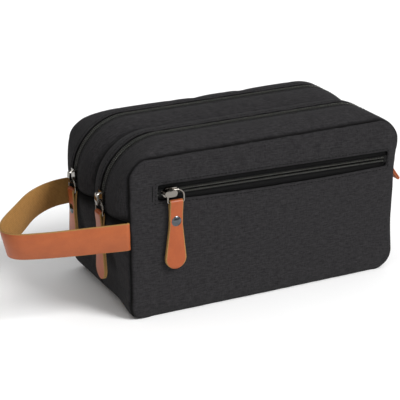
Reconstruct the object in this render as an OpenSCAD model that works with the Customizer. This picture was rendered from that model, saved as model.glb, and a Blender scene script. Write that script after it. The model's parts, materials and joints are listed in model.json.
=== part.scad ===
// Soft zipped wash bag: two arched main compartments side by side, a zipped
// pocket on the front panel, a looped wrist strap on the left end and two
// grab tabs on the right end. Each zip has a slider, a wire ring and a folded
// leather pull closed by a cap rivet.
// X runs along the width, Y from the front panel to the back panel, Z up.
// The origin is the centre of the flat base.

/* [Bag] */
// Width of the front and back panels between their end seams
panel_w = 237; // [200:1:290]
// Height of the front and back panels
panel_h = 131; // [115:1:170]
// Depth from the front face to the back face
bag_d = 122; // [104:1:160]
// Thickness of the padded cloth
cloth_t = 2; // [1.5:0.1:2.6]
// How far the gusset swells past the panel seams along each zip
crest = 7.5; // [5:0.5:12]
// Radius of the top corners of the panels
seam_r = 20; // [14:1:28]
// Radius of the bottom corners of the bag
base_r = 16; // [10:1:22]
// Radius of the top corners where the two compartments meet
mid_r = 38; // [26:1:44]
// Thickness of the lining cloth
lining_t = 0.6; // [0.4:0.1:1]

/* [Main zips] */
// Distance from the outer face of a panel back to its zip's centre line
zip_setback = 32.5; // [27:0.5:42]
// Radius of the zip's path round the top corners
zip_r = 45.5; // [36:0.5:56]
// Straight chain between the slider's centre and the end seam
zip_tail = 11; // [10:0.5:16]
// Gap between the front strip's folded edge and the centre line
gap_near = 4.2; // [4.1:0.1:6]
// Gap between the rear strip's folded edge and the centre line
gap_far = 6.4; // [4.1:0.1:8]

/* [Zip chain] */
// Width of the two coils together
coil_w = 5.6; // [5:0.1:7]
// Thickness of a coil
coil_t = 2.2; // [1.8:0.1:2.6]
// Slot between the two coils, where the slider's post runs
coil_slot = 0.9; // [0.8:0.1:1.2]
// Width of the whole tape
tape_w = 18; // [16.6:0.2:20]
// Thickness of the tape
tape_t = 0.5; // [0.4:0.05:0.8]

/* [Front pocket] */
// Distance from the panel's left end to the pocket's zip window
window_left = 24.5; // [22:0.5:60]
// Distance from the panel's right end to the pocket's zip window
window_right = 9; // [9:0.5:60]
// Height of the pocket's zip window
window_h = 14; // [12:0.5:16]
// Distance from the panel's top edge down to the pocket zip's centre line
window_drop = 31.8; // [28:0.1:45]
// How far the pocket's zip climbs towards its left end, in degrees
window_tilt = 1.4; // [0:0.1:3]
// Depth of the pocket's lining bag when it is empty
pocket_d = 7.5; // [6.2:0.1:10]
// Distance from the panel's bottom edge up to the pocket's floor
pocket_floor = 22; // [12:1:40]
// Gap between the slider at rest and the stop beside it
slider_rest = 0.5; // [0.3:0.1:10]

/* [Sliders, rings and pulls] */
// Length of a slider
slider_l = 12; // [10:0.5:14]
// Clearance between a slider and the chain that it runs on
run_gap = 0.45; // [0.4:0.05:0.6]
// Diameter of the ring's wire
wire_d = 1.5; // [1.2:0.1:1.8]
// Height of the ring, to the middle of the wire
ring_h = 10; // [9:0.2:13]
// Length of the leather pull
pull_l = 56.5; // [45:0.5:70]
// Width of the pull at the ring
pull_top_w = 11; // [9:0.2:13]
// Width of the pull at its round end
pull_end_w = 17.6; // [12:0.2:20]
// Thickness of one leather layer of the pull
leather_t = 1.3; // [1:0.1:1.6]
// Distance from the pull's folded top to its rivet
rivet_drop = 17.4; // [14:0.1:24]
// Diameter of the rivet's cap
rivet_d = 8.2; // [6:0.2:9]

/* [Strap and grab tabs] */
// Width of the wrist strap
strap_w = 22; // [18:1:30]
// How far the strap's loop reaches past the panel seam
strap_reach = 89; // [84:1:120]
// Thickness of the strap's leather face
strap_face_t = 1.2; // [0.8:0.1:1.6]
// Thickness of the strap's woven backing
strap_back_t = 0.8; // [0.6:0.1:1.2]
// Length of each strap end that is sewn in behind its seam
strap_tail = 5; // [3:0.5:8]
// Width of a grab tab
tab_w = 18; // [12:1:24]
// Length of a grab tab, from its hinge line at the seam
tab_l = 19; // [12:1:26]
// Thickness of a grab tab's folded leather
tab_t = 2.8; // [2:0.1:3.6]

/* [Hidden] */
$fn = 48;

CLOTH = "#343335";
LINING = "#4a4a4c";
BLACK = "#161616";
NICKEL = "#b9b7b2";
TAN = "#b2623a";
BEIGE = "#8f6b42";

// Bag
half_w = panel_w / 2;
seam_y = bag_d / 2 - cloth_t;          // inner face of the front and back panels
zip_y = bag_d / 2 - zip_setback;       // centre plane of the main zips
zip_top = panel_h + crest;             // height of the zip's straight top run
zip_half = half_w + crest;             // half the width between the zip's straight end runs
arc_x = zip_half - zip_r;              // centre of the zip's corner arcs
arc_z = zip_top - zip_r;
end_seam_z = arc_z - zip_tail;         // level seam where each zip ends
flat_half = tape_w / 2 + 0.3;          // half the width of the level band that carries the zip
lining_r = max(seam_r, mid_r);         // top corners of whatever fills the whole compartment
base_swell_z = base_r + 6;             // height at which the ends start to swell
ARC_STEPS = 12;
LINE_STEPS = 3;

// Zip chain, measured from the cloth's outer face
coil_proud = 0.2;
coil_floor = coil_proud - coil_t;      // where the coil sits on the tape
tape_floor = coil_floor - tape_t;
stop_l = 2.5;
stop_t = 0.25;

// Slider, measured from the cloth's outer face
plate_t = 1.1;
flange_t = 0.8;
side_gap = 0.15;
slider_w = coil_w + 2 * (side_gap + flange_t);
plate_z = coil_proud + run_gap;        // underside of the top plate
bridge_z = plate_z + plate_t;          // floor of the tunnel under the bridge
tunnel_h = wire_d + 0.8;
bridge_w = 5;
bridge_t = 0.8;
bridge_rise = 1.4;
bridge_l = slider_l - 1.6;
leg_r = 0.9;
leg_x = bridge_l / 2 - leg_r - 0.2;
wire_z = bridge_z + tunnel_h / 2;      // middle of the ring's wire above the cloth
ring_seat = leg_x - leg_r - wire_d / 2 - 0.35;
ring_top_r = 5.5;
ring_low_r = 1.1;
ring_play = 0.15;
ring_w = pull_top_w + 2 * (ring_low_r + ring_play);
ring_side = ring_w / 2 - 2;          // sideways shift of the pocket's ring, which hangs on one leg
ring_rise = leg_r + wire_d / 2 + 0.35;

// Pull
fold_r = wire_d / 2 + 0.1;
fold_out = fold_r + leather_t;
rivet_at = rivet_drop - fold_out;
layer_gap = 0.05;
shank_r = 1.4;
cap_h = 1.3;
tail_cap_r = 3.4;
tail_cap_h = 0.5;

// Pocket
window_z = panel_h - window_drop;
window_l = -half_w + window_left;
window_r = half_w - window_right;
window_mid = (window_l + window_r) / 2;
tape_margin = 4;
pocket_slider_x = window_l + stop_l + slider_rest + slider_l / 2;
pocket_l = -half_w + cloth_t + 0.1 + strap_tail + 1.4;
pocket_r = window_r + tape_margin;
front_lining_y = -seam_y + pocket_d + 0.4;
tail_t = 1.2;
rear_lining_y = seam_y - tail_t - 0.3;

// Strap: plan of the loop, as shares of its reach and of half the bag's depth
strap_z = end_seam_z - 12;
seam_clear = 0.9;
strap_x = -half_w - seam_clear;        // the strap turns about this line at its sewn ends
root_r = strap_w / 2 + 5;              // the strap flexes this far out from that line
root_gap = 0.3;
STRAP_PLAN = [
    [0, -0.965], [0.16, -0.925], [0.44, -0.85], [0.72, -0.765], [0.93, -0.65], [1, -0.44],
    [0.91, -0.12], [0.64, 0.38], [0.47, 0.66], [0.31, 0.84], [0.15, 0.94], [0, 0.965]
];
CURVE_STEPS = 5;

// ---------- curves ----------

// One point of a smooth curve that passes through p1 and p2
function curve_point(p0, p1, p2, p3, t) =
    0.5 * (2 * p1 + (p2 - p0) * t + (2 * p0 - 5 * p1 + 4 * p2 - p3) * t * t
        + (3 * p1 - p0 - 3 * p2 + p3) * t * t * t);

// A smooth open curve through a list of points
function curve(p, steps) = let (n = len(p)) concat(
    [for (i = [0:n - 2]) for (k = [0:steps - 1])
        curve_point(p[max(i - 1, 0)], p[i], p[i + 1], p[min(i + 2, n - 1)], k / steps)],
    [p[n - 1]]);

// The same curve moved sideways by d, to its left
function shifted(c, d) = [for (i = [0:len(c) - 1])
    let (a = c[max(i - 1, 0)], b = c[min(i + 1, len(c) - 1)], v = (b - a) / norm(b - a))
    c[i] + d * [-v[1], v[0]]];

function reversed(c) = [for (i = [len(c) - 1:-1:0]) c[i]];

function smooth(t) = let (c = min(max(t, 0), 1)) c * c * (3 - 2 * c);

// ---------- bag surface ----------

// How full the gusset is at depth y: 1 along the zip and 0 at the seams on either side of it
function fullness(y) = let (
    d = abs(y) - zip_y,
    span = d > 0 ? seam_y - zip_y : zip_y,
    s = max(abs(d) - flat_half, 0) / (span - flat_half)) 1 - s * s;

function corner_r(y) = let (edge = abs(y) > zip_y ? seam_r : mid_r) edge + (zip_r - edge) * fullness(y);

// Outline of the arched top at depth y, from the left end seam over to the right one, inset by t
function arch(y, t) = let (
    f = fullness(y), a = half_w + crest * f, top = panel_h + crest * f, r = corner_r(y), n = ARC_STEPS, m = LINE_STEPS)
    concat(
        [for (i = [0:m - 1]) [-a + t, end_seam_z + (top - r - end_seam_z) * i / m]],
        [for (i = [0:n]) let (w = 180 - 90 * i / n) [-a + r + (r - t) * cos(w), top - r + (r - t) * sin(w)]],
        [for (i = [1:m - 1]) [(a - r) * (2 * i / m - 1), top - t]],
        [for (i = [0:n]) let (w = 90 - 90 * i / n) [a - r + (r - t) * cos(w), top - r + (r - t) * sin(w)]],
        [for (i = [m - 1:-1:0]) [a - t, end_seam_z + (top - r - end_seam_z) * i / m]]);

// Half width of the bag's lower part at height z and depth y
function low_half(y, z) = half_w
    + crest * fullness(y) * smooth((z - base_swell_z) / (end_seam_z - base_swell_z));

// Outline of the lower part at depth y, from the left end seam down and round to the right one
function trough(y, t) = let (n = ARC_STEPS / 2, m = 6, e = end_seam_z, c = half_w - base_r) concat(
    [for (i = [0:m - 1]) let (z = e + (base_r - e) * i / m) [-low_half(y, z) + t, z]],
    [for (i = [0:n]) let (w = 180 + 90 * i / n) [-c + (base_r - t) * cos(w), base_r + (base_r - t) * sin(w)]],
    [for (i = [0:n]) let (w = 270 + 90 * i / n) [c + (base_r - t) * cos(w), base_r + (base_r - t) * sin(w)]],
    [for (i = [m - 1:-1:0]) let (z = e + (base_r - e) * i / m) [low_half(y, z) - t, z]]);

// Outline of a panel with top corners of radius r, inset by t
function panel_outline(r, t) = let (
    w = half_w - t, n = ARC_STEPS, top = panel_h - t, rt = max(r - t, 1), rb = max(base_r - t, 1))
    concat(
        [for (i = [0:n]) let (g = 90 * i / n) [w - rt + rt * cos(g), top - rt + rt * sin(g)]],
        [for (i = [0:n]) let (g = 90 + 90 * i / n) [-w + rt + rt * cos(g), top - rt + rt * sin(g)]],
        [for (i = [0:n]) let (g = 180 + 90 * i / n) [-w + rb + rb * cos(g), t + rb + rb * sin(g)]],
        [for (i = [0:n]) let (g = 270 + 90 * i / n) [w - rb + rb * cos(g), t + rb + rb * sin(g)]]);

// A 2D shape in X and Z, made solid between two depths
module upright(y0, y1) {
    translate([0, y1, 0]) rotate([90, 0, 0]) linear_extrude(y1 - y0) children();
}

// A thin wall between two grids of points: rows run across the wall, columns along it
module wall(outer, inner) {
    rows = len(outer);
    cols = len(outer[0]);
    total = rows * cols;
    points = concat([for (r = outer) for (p = r) p], [for (r = inner) for (p = r) p]);
    face = [for (r = [0:rows - 2]) for (c = [0:cols - 2]) let (i = r * cols + c) each [
        [i, i + 1, i + cols + 1], [i, i + cols + 1, i + cols],
        [total + i, total + i + cols + 1, total + i + 1], [total + i, total + i + cols, total + i + cols + 1]]];
    sides = [for (r = [0, rows - 1]) for (c = [0:cols - 2]) let (i = r * cols + c, j = i + 1) each (r == 0
        ? [[i, total + i, total + j], [i, total + j, j]]
        : [[i, total + j, total + i], [i, j, total + j]])];
    ends = [for (c = [0, cols - 1]) for (r = [0:rows - 2]) let (i = r * cols + c, j = i + cols) each (c == 0
        ? [[i, total + j, total + i], [i, j, total + j]]
        : [[i, total + i, total + j], [i, total + j, j]])];
    polyhedron(points = points, faces = concat(face, sides, ends), convexity = 6);
}

function grid(depths, t, top) = [for (y = depths) [for (p = top ? arch(y, t) : trough(y, t)) [p[0], y, p[1]]]];

function spread(a, b, n) = [for (i = [0:n]) a + (b - a) * i / n];

// Depths across one strip, with a row at the edge of the level band
function strip_depths(a, edge, b) = concat(spread(a, edge, 1), [for (i = [1:6]) edge + (b - edge) * i / 6]);

// side is -1 for the front compartment and 1 for the rear one
module outer_strip(side) {
    y = strip_depths(side * (zip_y + gap(side, true)), side * (zip_y + flat_half), side * seam_y);
    arched(side > 0 ? y : reversed(y));
}

module inner_strip(side) {
    y = strip_depths(side * (zip_y - gap(side, false)), side * (zip_y - flat_half), 0);
    arched(side > 0 ? reversed(y) : y);
}

// The narrow gap is always on the side of the chain that faces the front
function gap(side, outward) = (side < 0) == outward ? gap_near : gap_far;

module arched(depths) {
    color(CLOTH) wall(grid(depths, 0, true), grid(depths, cloth_t, true));
}

module gusset_base(side) {
    a = strip_depths(side * zip_y, side * (zip_y + flat_half), side * seam_y);
    b = strip_depths(side * zip_y, side * (zip_y - flat_half), 0);
    y = concat(reversed(b), [for (i = [1:len(a) - 1]) a[i]]);
    d = side > 0 ? reversed(y) : y;
    color(CLOTH) wall(grid(d, 0, false), grid(d, cloth_t, false));
}

// ---------- panels, divider and lining ----------

// Turns what belongs to the pocket's zip about the middle of its window
module tilted() {
    translate([window_mid, 0, window_z]) rotate([0, window_tilt, 0]) translate([-window_mid, 0, -window_z]) children();
}

module window_shape() {
    r = 2;
    w = window_r - window_l;
    translate([window_mid, window_z]) rotate(-window_tilt) {
        translate([-w / 2 + r, -window_h / 2]) square([w - 2 * r, window_h]);
        translate([-w / 2, r - window_h / 2]) square([w, window_h - 2 * r]);
        for (x = [r - w / 2, w / 2 - r], z = [r - window_h / 2, window_h / 2 - r]) translate([x, z]) circle(r);
    }
}

module front_panel() {
    color(CLOTH) upright(-bag_d / 2, -seam_y) difference() {
        polygon(panel_outline(seam_r, 0));
        window_shape();
    }
}

module back_panel() {
    color(CLOTH) upright(seam_y, bag_d / 2) polygon(panel_outline(seam_r, 0));
}

module compartment_divider() {
    color(LINING) upright(-0.5, 0.5) polygon(panel_outline(lining_r, cloth_t + 0.1));
}

// A lining bag between two depths, open under the zip
module lining_bag(y0, y1, mouth_y) {
    inset = cloth_t + 0.5;
    mouth = 2 * flat_half;
    color(LINING) difference() {
        upright(y0, y1) polygon(panel_outline(lining_r, inset));
        upright(y0 + lining_t, y1 - lining_t) polygon(panel_outline(lining_r, inset + lining_t));
        translate([-panel_w, mouth_y - mouth / 2, end_seam_z]) cube([2 * panel_w, mouth, panel_h]);
    }
}

module pocket_lining() {
    y = -seam_y + tape_t + 0.1;
    w = pocket_r - pocket_l;
    h = panel_h - seam_r + 3 - pocket_floor;
    d = pocket_d - tape_t - 0.1;
    t = lining_t;
    mouth_h = window_h + 4;
    color(LINING) difference() {
        translate([pocket_l, y, pocket_floor]) cube([w, d, h]);
        translate([pocket_l + t, y + t, pocket_floor + t]) cube([w - 2 * t, d - 2 * t, h - 2 * t]);
        tilted() translate([window_l, y - 1, window_z - mouth_h / 2]) cube([window_r - window_l, t + 2, mouth_h]);
    }
}

// Folded tape over the raw seam edges inside a compartment
module seam_binding(y0, y1) {
    inset = cloth_t + 0.5 + lining_t + 0.1;
    color(BLACK) upright(y0, y1) difference() {
        polygon(panel_outline(lining_r, inset));
        polygon(panel_outline(lining_r, inset + 1.4));
    }
}

// ---------- zips ----------

// A band that follows the arched zip between two levels under the cloth's outer face
module zip_band(side, y0, y1, high, low) {
    y = side * zip_y;
    upright(y + y0, y + y1) polygon(concat(arch(y, -high), reversed(arch(y, -low))));
}

module zip_tape(side, across) {
    a = across * coil_slot / 2;
    b = across * tape_w / 2;
    color(BLACK) zip_band(side, min(a, b), max(a, b), coil_floor, tape_floor);
}

module zip_coil(side, across) {
    a = across * coil_slot / 2;
    b = across * coil_w / 2;
    color(BLACK) zip_band(side, min(a, b), max(a, b), coil_proud, coil_floor);
}

// Stops clamped over both coils at each end of a main zip, just above the end seam
module zip_stops(side) {
    color(BLACK) for (end = [-1, 1]) {
        x = end * (zip_half + coil_proud);
        lift = end > 0 ? tab_t : 0; // clear of the grab tab's root
        translate([x - (end < 0 ? stop_t : 0), side * zip_y - coil_w / 2, end_seam_z + lift])
            cube([stop_t, coil_w, stop_l]);
    }
}

module straight_band(z0, z1, high, low) {
    margin = high > 0 ? 0 : tape_margin;
    tilted() translate([window_l - margin, -bag_d / 2 - high, window_z + z0])
        cube([window_r - window_l + 2 * margin, high - low, z1 - z0]);
}

module pocket_zip_tape(across) {
    a = across * coil_slot / 2;
    b = across * tape_w / 2;
    color(BLACK) straight_band(min(a, b), max(a, b), coil_floor, tape_floor);
}

module pocket_zip_coil(across) {
    a = across * coil_slot / 2;
    b = across * coil_w / 2;
    color(BLACK) straight_band(min(a, b), max(a, b), coil_proud, coil_floor);
}

module pocket_zip_stops() {
    color(BLACK) for (x = [window_l, window_r - stop_l])
        tilted() translate([x, -bag_d / 2 - coil_proud - stop_t, window_z - coil_w / 2]) cube([stop_l, stop_t, coil_w]);
}

// ---------- slider, ring, pull and rivet ----------
// Drawn with X along the chain, Y across it and Z away from the cloth

module plate(z, t, w) {
    nose = slider_w / 2;
    translate([0, 0, z]) linear_extrude(t) intersection() {
        union() {
            translate([-slider_l / 2 + nose, -w / 2]) square([slider_l - nose, w]);
            translate([-slider_l / 2 + nose, 0]) circle(nose);
        }
        square([slider_l, w], center = true);
    }
}

module slider() {
    low_z = tape_floor - run_gap - 0.05;
    flange_z = coil_floor + 0.4;
    color(NICKEL) union() {
        plate(plate_z, plate_t, slider_w);
        plate(low_z - plate_t, plate_t, slider_w);
        for (s = [-1, 1]) translate([-slider_l / 2 + slider_w / 2, s * (slider_w - flange_t) / 2 - flange_t / 2, flange_z])
            cube([slider_l - slider_w / 2, flange_t, plate_z - flange_z + 0.1]);
        translate([-slider_l / 2 + 1.2, -coil_slot / 2 + side_gap, low_z - 0.1])
            cube([3, coil_slot - 2 * side_gap, plate_z - low_z + 0.2]);
        for (s = [-1, 1]) translate([s * leg_x, 0, bridge_z - 0.1])
            cylinder(h = tunnel_h + 0.2, r = leg_r, $fn = 32);
        bridge_top();
    }
}

// Domed oval crown over the tunnel
module bridge_top() {
    end_x = (bridge_l - bridge_w) / 2;
    top = bridge_t + bridge_rise;
    reach = bridge_l / 2 + 0.5;
    dome_r = (reach * reach + bridge_rise * bridge_rise) / (2 * bridge_rise);
    translate([0, 0, bridge_z + tunnel_h]) intersection() {
        linear_extrude(top + 0.1) union() {
            square([2 * end_x, bridge_w], center = true);
            for (s = [-1, 1]) translate([s * end_x, 0]) circle(bridge_w / 2);
        }
        translate([0, 0, top - dome_r]) rotate([90, 0, 0]) sphere(dome_r, $fn = 96);
    }
}

// A quarter bend of wire whose centre line goes from +X to +Y round the origin
module bend(r) {
    rotate_extrude(angle = 90) translate([r, 0]) circle(wire_d / 2, $fn = 24);
}

module rod(l) {
    rotate([-90, 0, 0]) cylinder(h = l, d = wire_d, $fn = 24);
}

// Wire ring, hanging along -X from the middle of its top bar at the origin
module ring() {
    half = ring_w / 2;
    top = half - ring_top_r;
    low = half - ring_low_r;
    side = ring_h - ring_top_r - ring_low_r;
    color(NICKEL) union() {
        translate([0, -top, 0]) rod(2 * top);
        translate([-ring_h, -low, 0]) rod(2 * low);
        for (m = [0, 1]) mirror([0, m, 0]) {
            translate([-ring_top_r, top, 0]) bend(ring_top_r);
            translate([-ring_top_r - side, half, 0]) rotate([0, 0, -90]) rod(side);
            translate([-ring_h + ring_low_r, low, 0]) rotate([0, 0, 90]) bend(ring_low_r);
        }
    }
}

// Front view of the pull: straight at the ring, then flaring to a round end
module pull_shape() {
    end_r = pull_end_w / 2;
    end_x = fold_out - pull_l + end_r;
    neck = -rivet_at - 3;
    polygon(concat(
        [[neck, -pull_top_w / 2], [fold_out, -pull_top_w / 2], [fold_out, pull_top_w / 2], [neck, pull_top_w / 2]],
        [for (w = [90:7.5:270]) [end_x + end_r * cos(w), end_r * sin(w)]]));
}

// Side view of the folded strip: a loop round the ring's bar and two layers that close at the rivet
module pull_profile() {
    far = fold_out - pull_l;
    meet = -rivet_at + tail_cap_r + 1;
    g = layer_gap;
    outer = g + leather_t;
    difference() {
        polygon(concat(
            [for (w = [-90:7.5:90]) [fold_out * cos(w), fold_out * sin(w)]],
            [[meet, outer], [far, outer], [far, -outer], [meet, -outer]]));
        circle(fold_r, $fn = 32);
        polygon([[0, fold_r], [0, -fold_r], [meet, -g], [far - 1, -g], [far - 1, g], [meet, g]]);
    }
}

// Leather pull, hanging along -X from the ring's bottom bar at the origin
module pull() {
    color(TAN) difference() {
        intersection() {
            translate([0, pull_end_w, 0]) rotate([90, 0, 0]) linear_extrude(2 * pull_end_w) pull_profile();
            translate([0, 0, -fold_out]) linear_extrude(2 * fold_out) pull_shape();
        }
        translate([-rivet_at, 0, -fold_out]) cylinder(h = 2 * fold_out, r = shank_r + 0.05, $fn = 32);
    }
}

module rivet() {
    face = layer_gap + leather_t;
    cap_r = rivet_d / 2;
    dome_r = (cap_r * cap_r + cap_h * cap_h) / (2 * cap_h);
    color(NICKEL) translate([-rivet_at, 0, 0]) union() {
        translate([0, 0, -face]) cylinder(h = 2 * face, r = shank_r, $fn = 32);
        translate([0, 0, -face - tail_cap_h]) cylinder(h = tail_cap_h, r = tail_cap_r);
        intersection() {
            translate([0, 0, face]) cylinder(h = cap_h, r = cap_r);
            translate([0, 0, face + cap_h - dome_r]) sphere(dome_r, $fn = 96);
        }
    }
}

// Places a slider's own frame on a main zip, at the foot of the left corner arc
module on_end(side) {
    translate([-zip_half, side * zip_y, arc_z]) rotate([0, -90, 0]) children();
}

module on_end_ring(side) {
    on_end(side) translate([-ring_seat, 0, wire_z]) children();
}

module on_end_pull(side) {
    on_end_ring(side) translate([-ring_h, 0, 0]) children();
}

module on_pocket() {
    tilted() translate([pocket_slider_x, -bag_d / 2, window_z]) rotate([90, 0, 0]) children();
}

// The pocket's ring hangs across the chain, round one leg of the slider's bridge
module on_pocket_ring() {
    on_pocket() translate([ring_side, ring_rise, wire_z]) rotate([0, 0, 90]) children();
}

module on_pocket_pull() {
    on_pocket_ring() translate([-ring_h, 0, 0]) children();
}

// ---------- strap and grab tabs ----------

strap_path = curve([for (p = STRAP_PLAN) [strap_x - p[0] * strap_reach, p[1] * bag_d / 2]], CURVE_STEPS);

// A layer of the strap between two sideways shifts of its path
module strap_layer(a, b) {
    translate([0, 0, strap_z - strap_w / 2]) linear_extrude(strap_w)
        polygon(concat(shifted(strap_path, a), reversed(shifted(strap_path, b))));
}

// A drum round the line that the strap turns about
module root_drum(r) {
    translate([strap_x, bag_d, strap_z]) rotate([90, 0, 0]) cylinder(h = 2 * bag_d, r = r, $fn = 64);
}

// The loop, free of the short roots that stay with the bag
module strap_loop(a, b) {
    difference() {
        strap_layer(a, b);
        root_drum(root_r + root_gap);
    }
}

module strap_root_pair(a, b) {
    intersection() {
        strap_layer(a, b);
        root_drum(root_r);
    }
}

// Ends of the strap that are sewn in behind the seams
module strap_tails() {
    color(TAN) for (y = [-seam_y + 0.1, seam_y - 0.1 - tail_t])
        translate([-half_w + cloth_t + 0.1, y, strap_z - strap_w / 2]) cube([strap_tail, tail_t, strap_w]);
}

// Folded leather tab, caught in the end seam and drooping away from the bag
module grab_tab(side) {
    droop = 55;
    r = tab_t / 2;
    color(TAN) translate([zip_half + r + 0.4, side * zip_y, end_seam_z]) rotate([0, droop, 0])
        translate([0, tab_w / 2, 0]) rotate([90, 0, 0]) linear_extrude(tab_w) difference() {
            union() {
                circle(r, $fn = 32);
                translate([0, -r]) square([tab_l - r, 2 * r]);
                translate([tab_l - r, 0]) circle(r, $fn = 32);
            }
            translate([r, -0.05]) square([tab_l - 2 * r, 0.1]);
        }
}

// ---------- nodes ----------

front_panel();
back_panel();
compartment_divider();
outer_strip(-1);  // front_gusset_near_strip
inner_strip(-1);  // front_gusset_far_strip
gusset_base(-1);  // front_gusset_base
inner_strip(1);  // rear_gusset_near_strip
outer_strip(1);  // rear_gusset_far_strip
gusset_base(1);  // rear_gusset_base
lining_bag(front_lining_y, -0.6, -zip_y);  // front_lining
lining_bag(0.6, rear_lining_y, zip_y);  // rear_lining
pocket_lining();
seam_binding(front_lining_y + lining_t + 0.1, front_lining_y + lining_t + 8.1);  // front_seam_binding
seam_binding(-lining_t - 8.7, -lining_t - 0.7);  // centre_seam_binding_front
seam_binding(lining_t + 0.7, lining_t + 8.7);  // centre_seam_binding_rear
seam_binding(rear_lining_y - lining_t - 8.1, rear_lining_y - lining_t - 0.1);  // rear_seam_binding
zip_tape(-1, -1);  // front_zip_tape_near
zip_tape(-1, 1);  // front_zip_tape_far
zip_coil(-1, -1);  // front_zip_coil_near
zip_coil(-1, 1);  // front_zip_coil_far
zip_stops(-1);  // front_zip_stops
on_end(-1) slider();  // front_zip_slider
on_end_ring(-1) ring();  // front_zip_ring
on_end_pull(-1) pull();  // front_zip_pull
on_end_pull(-1) rivet();  // front_zip_rivet
zip_tape(1, -1);  // rear_zip_tape_near
zip_tape(1, 1);  // rear_zip_tape_far
zip_coil(1, -1);  // rear_zip_coil_near
zip_coil(1, 1);  // rear_zip_coil_far
zip_stops(1);  // rear_zip_stops
on_end(1) slider();  // rear_zip_slider
on_end_ring(1) ring();  // rear_zip_ring
on_end_pull(1) pull();  // rear_zip_pull
on_end_pull(1) rivet();  // rear_zip_rivet
pocket_zip_tape(1);  // pocket_zip_tape_upper
pocket_zip_tape(-1);  // pocket_zip_tape_lower
pocket_zip_coil(1);  // pocket_zip_coil_upper
pocket_zip_coil(-1);  // pocket_zip_coil_lower
pocket_zip_stops();
on_pocket() slider();  // pocket_zip_slider
on_pocket_ring() ring();  // pocket_zip_ring
on_pocket_pull() pull();  // pocket_zip_pull
on_pocket_pull() rivet();  // pocket_zip_rivet
color(TAN) strap_loop(strap_face_t, 0);  // strap_leather
color(BEIGE) strap_loop(0, -strap_back_t);  // strap_backing
color(TAN) strap_root_pair(strap_face_t, 0);  // strap_roots
color(BEIGE) strap_root_pair(0, -strap_back_t);  // strap_root_backing
strap_tails();
grab_tab(-1);  // front_grab_tab
grab_tab(1);  // rear_grab_tab
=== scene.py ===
import functools
import json
import math

import bmesh
import bpy
from mathutils import Matrix, Vector, noise

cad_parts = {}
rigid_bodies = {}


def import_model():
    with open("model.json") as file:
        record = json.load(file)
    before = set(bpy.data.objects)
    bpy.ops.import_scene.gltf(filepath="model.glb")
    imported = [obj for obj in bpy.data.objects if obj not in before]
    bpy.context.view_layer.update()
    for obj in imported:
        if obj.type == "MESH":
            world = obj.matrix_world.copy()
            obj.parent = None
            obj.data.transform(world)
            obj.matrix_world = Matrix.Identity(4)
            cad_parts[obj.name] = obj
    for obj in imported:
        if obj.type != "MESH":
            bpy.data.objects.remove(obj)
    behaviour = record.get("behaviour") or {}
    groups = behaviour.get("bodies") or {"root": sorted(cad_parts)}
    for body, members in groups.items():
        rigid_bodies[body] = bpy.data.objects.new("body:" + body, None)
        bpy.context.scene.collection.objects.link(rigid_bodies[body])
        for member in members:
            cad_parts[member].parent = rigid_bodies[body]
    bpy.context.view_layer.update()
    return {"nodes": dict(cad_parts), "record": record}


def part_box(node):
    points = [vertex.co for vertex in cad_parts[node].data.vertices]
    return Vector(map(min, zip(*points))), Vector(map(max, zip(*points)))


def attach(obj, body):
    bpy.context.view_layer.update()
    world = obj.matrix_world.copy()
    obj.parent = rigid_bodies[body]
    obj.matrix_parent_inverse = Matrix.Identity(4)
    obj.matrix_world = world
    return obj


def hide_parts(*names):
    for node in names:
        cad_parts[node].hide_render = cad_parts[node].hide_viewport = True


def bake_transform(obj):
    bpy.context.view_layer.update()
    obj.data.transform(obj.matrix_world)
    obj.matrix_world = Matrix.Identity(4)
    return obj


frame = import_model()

bl_info = {
    "name": "Two-compartment wash bag",
    "version": (1, 0, 0),
    "blender": (4, 5, 0),
    "location": "3D View > Sidebar > Wash Bag",
    "description": "Dresses the wash bag's frame in cloth, zips, leather and nickel",
    "category": "Object",
}

MM = 0.001

# ---------------------------------------------------------------- sizes from the frame


def box_mm(name):
    """A frame node's lowest and highest corners, in millimetres."""
    lo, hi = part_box(name)
    return [c / MM for c in lo], [c / MM for c in hi]


def joint(name):
    return next(j for j in frame["record"]["behaviour"]["joints"] if j["name"] == name)


def joint_mm(name):
    return [c / MM for c in joint(name)["pos_m"]]


PANEL_LO, PANEL_HI = box_mm("front_panel")
STRIP_LO, STRIP_HI = box_mm("front_gusset_far_strip")
HALF_W, PANEL_H = PANEL_HI[0], PANEL_HI[2]
FRONT_Y, SEAM_Y = -PANEL_LO[1], -PANEL_HI[1]
ZIP_HALF, ZIP_TOP, END_SEAM = STRIP_HI[0], STRIP_HI[2], STRIP_LO[2]
ARC = joint_mm("front_slider_round_corner")
ARC_X, ARC_Z, ZIP_Y = -ARC[0], ARC[2], -ARC[1]
ZIP_R = ZIP_HALF - ARC_X
CREST = ZIP_HALF - HALF_W
GAP_NEAR = -ZIP_Y - box_mm("front_gusset_near_strip")[1][1]
GAP_FAR = box_mm("front_gusset_far_strip")[0][1] + ZIP_Y
TAPE_HI = box_mm("front_zip_tape_far")[1]
TAPE_HALF = TAPE_HI[1] + ZIP_Y
COIL_HALF = box_mm("front_zip_coil_far")[1][1] + ZIP_Y
COIL_TOP = box_mm("front_zip_coil_far")[1][2] - ZIP_TOP
TAPE_LEVEL = TAPE_HI[2] - ZIP_TOP
FLAT_HALF = TAPE_HALF + 0.3
POCKET_AXIS = joint("pocket_slider_travel")["axis"]
TILT = math.atan2(-POCKET_AXIS[2], POCKET_AXIS[0])
POCKET_COILS = box_mm("pocket_zip_coil_upper") + box_mm("pocket_zip_coil_lower")
WINDOW_MID = sum(c[0] for c in POCKET_COILS) / 4
WINDOW_Z = sum(c[2] for c in POCKET_COILS) / 4
WINDOW_HALF = (POCKET_COILS[1][0] - POCKET_COILS[0][0] - math.sin(TILT) * COIL_HALF) / 2 / math.cos(TILT)
WINDOW_L, WINDOW_R = WINDOW_MID - WINDOW_HALF, WINDOW_MID + WINDOW_HALF
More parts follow.
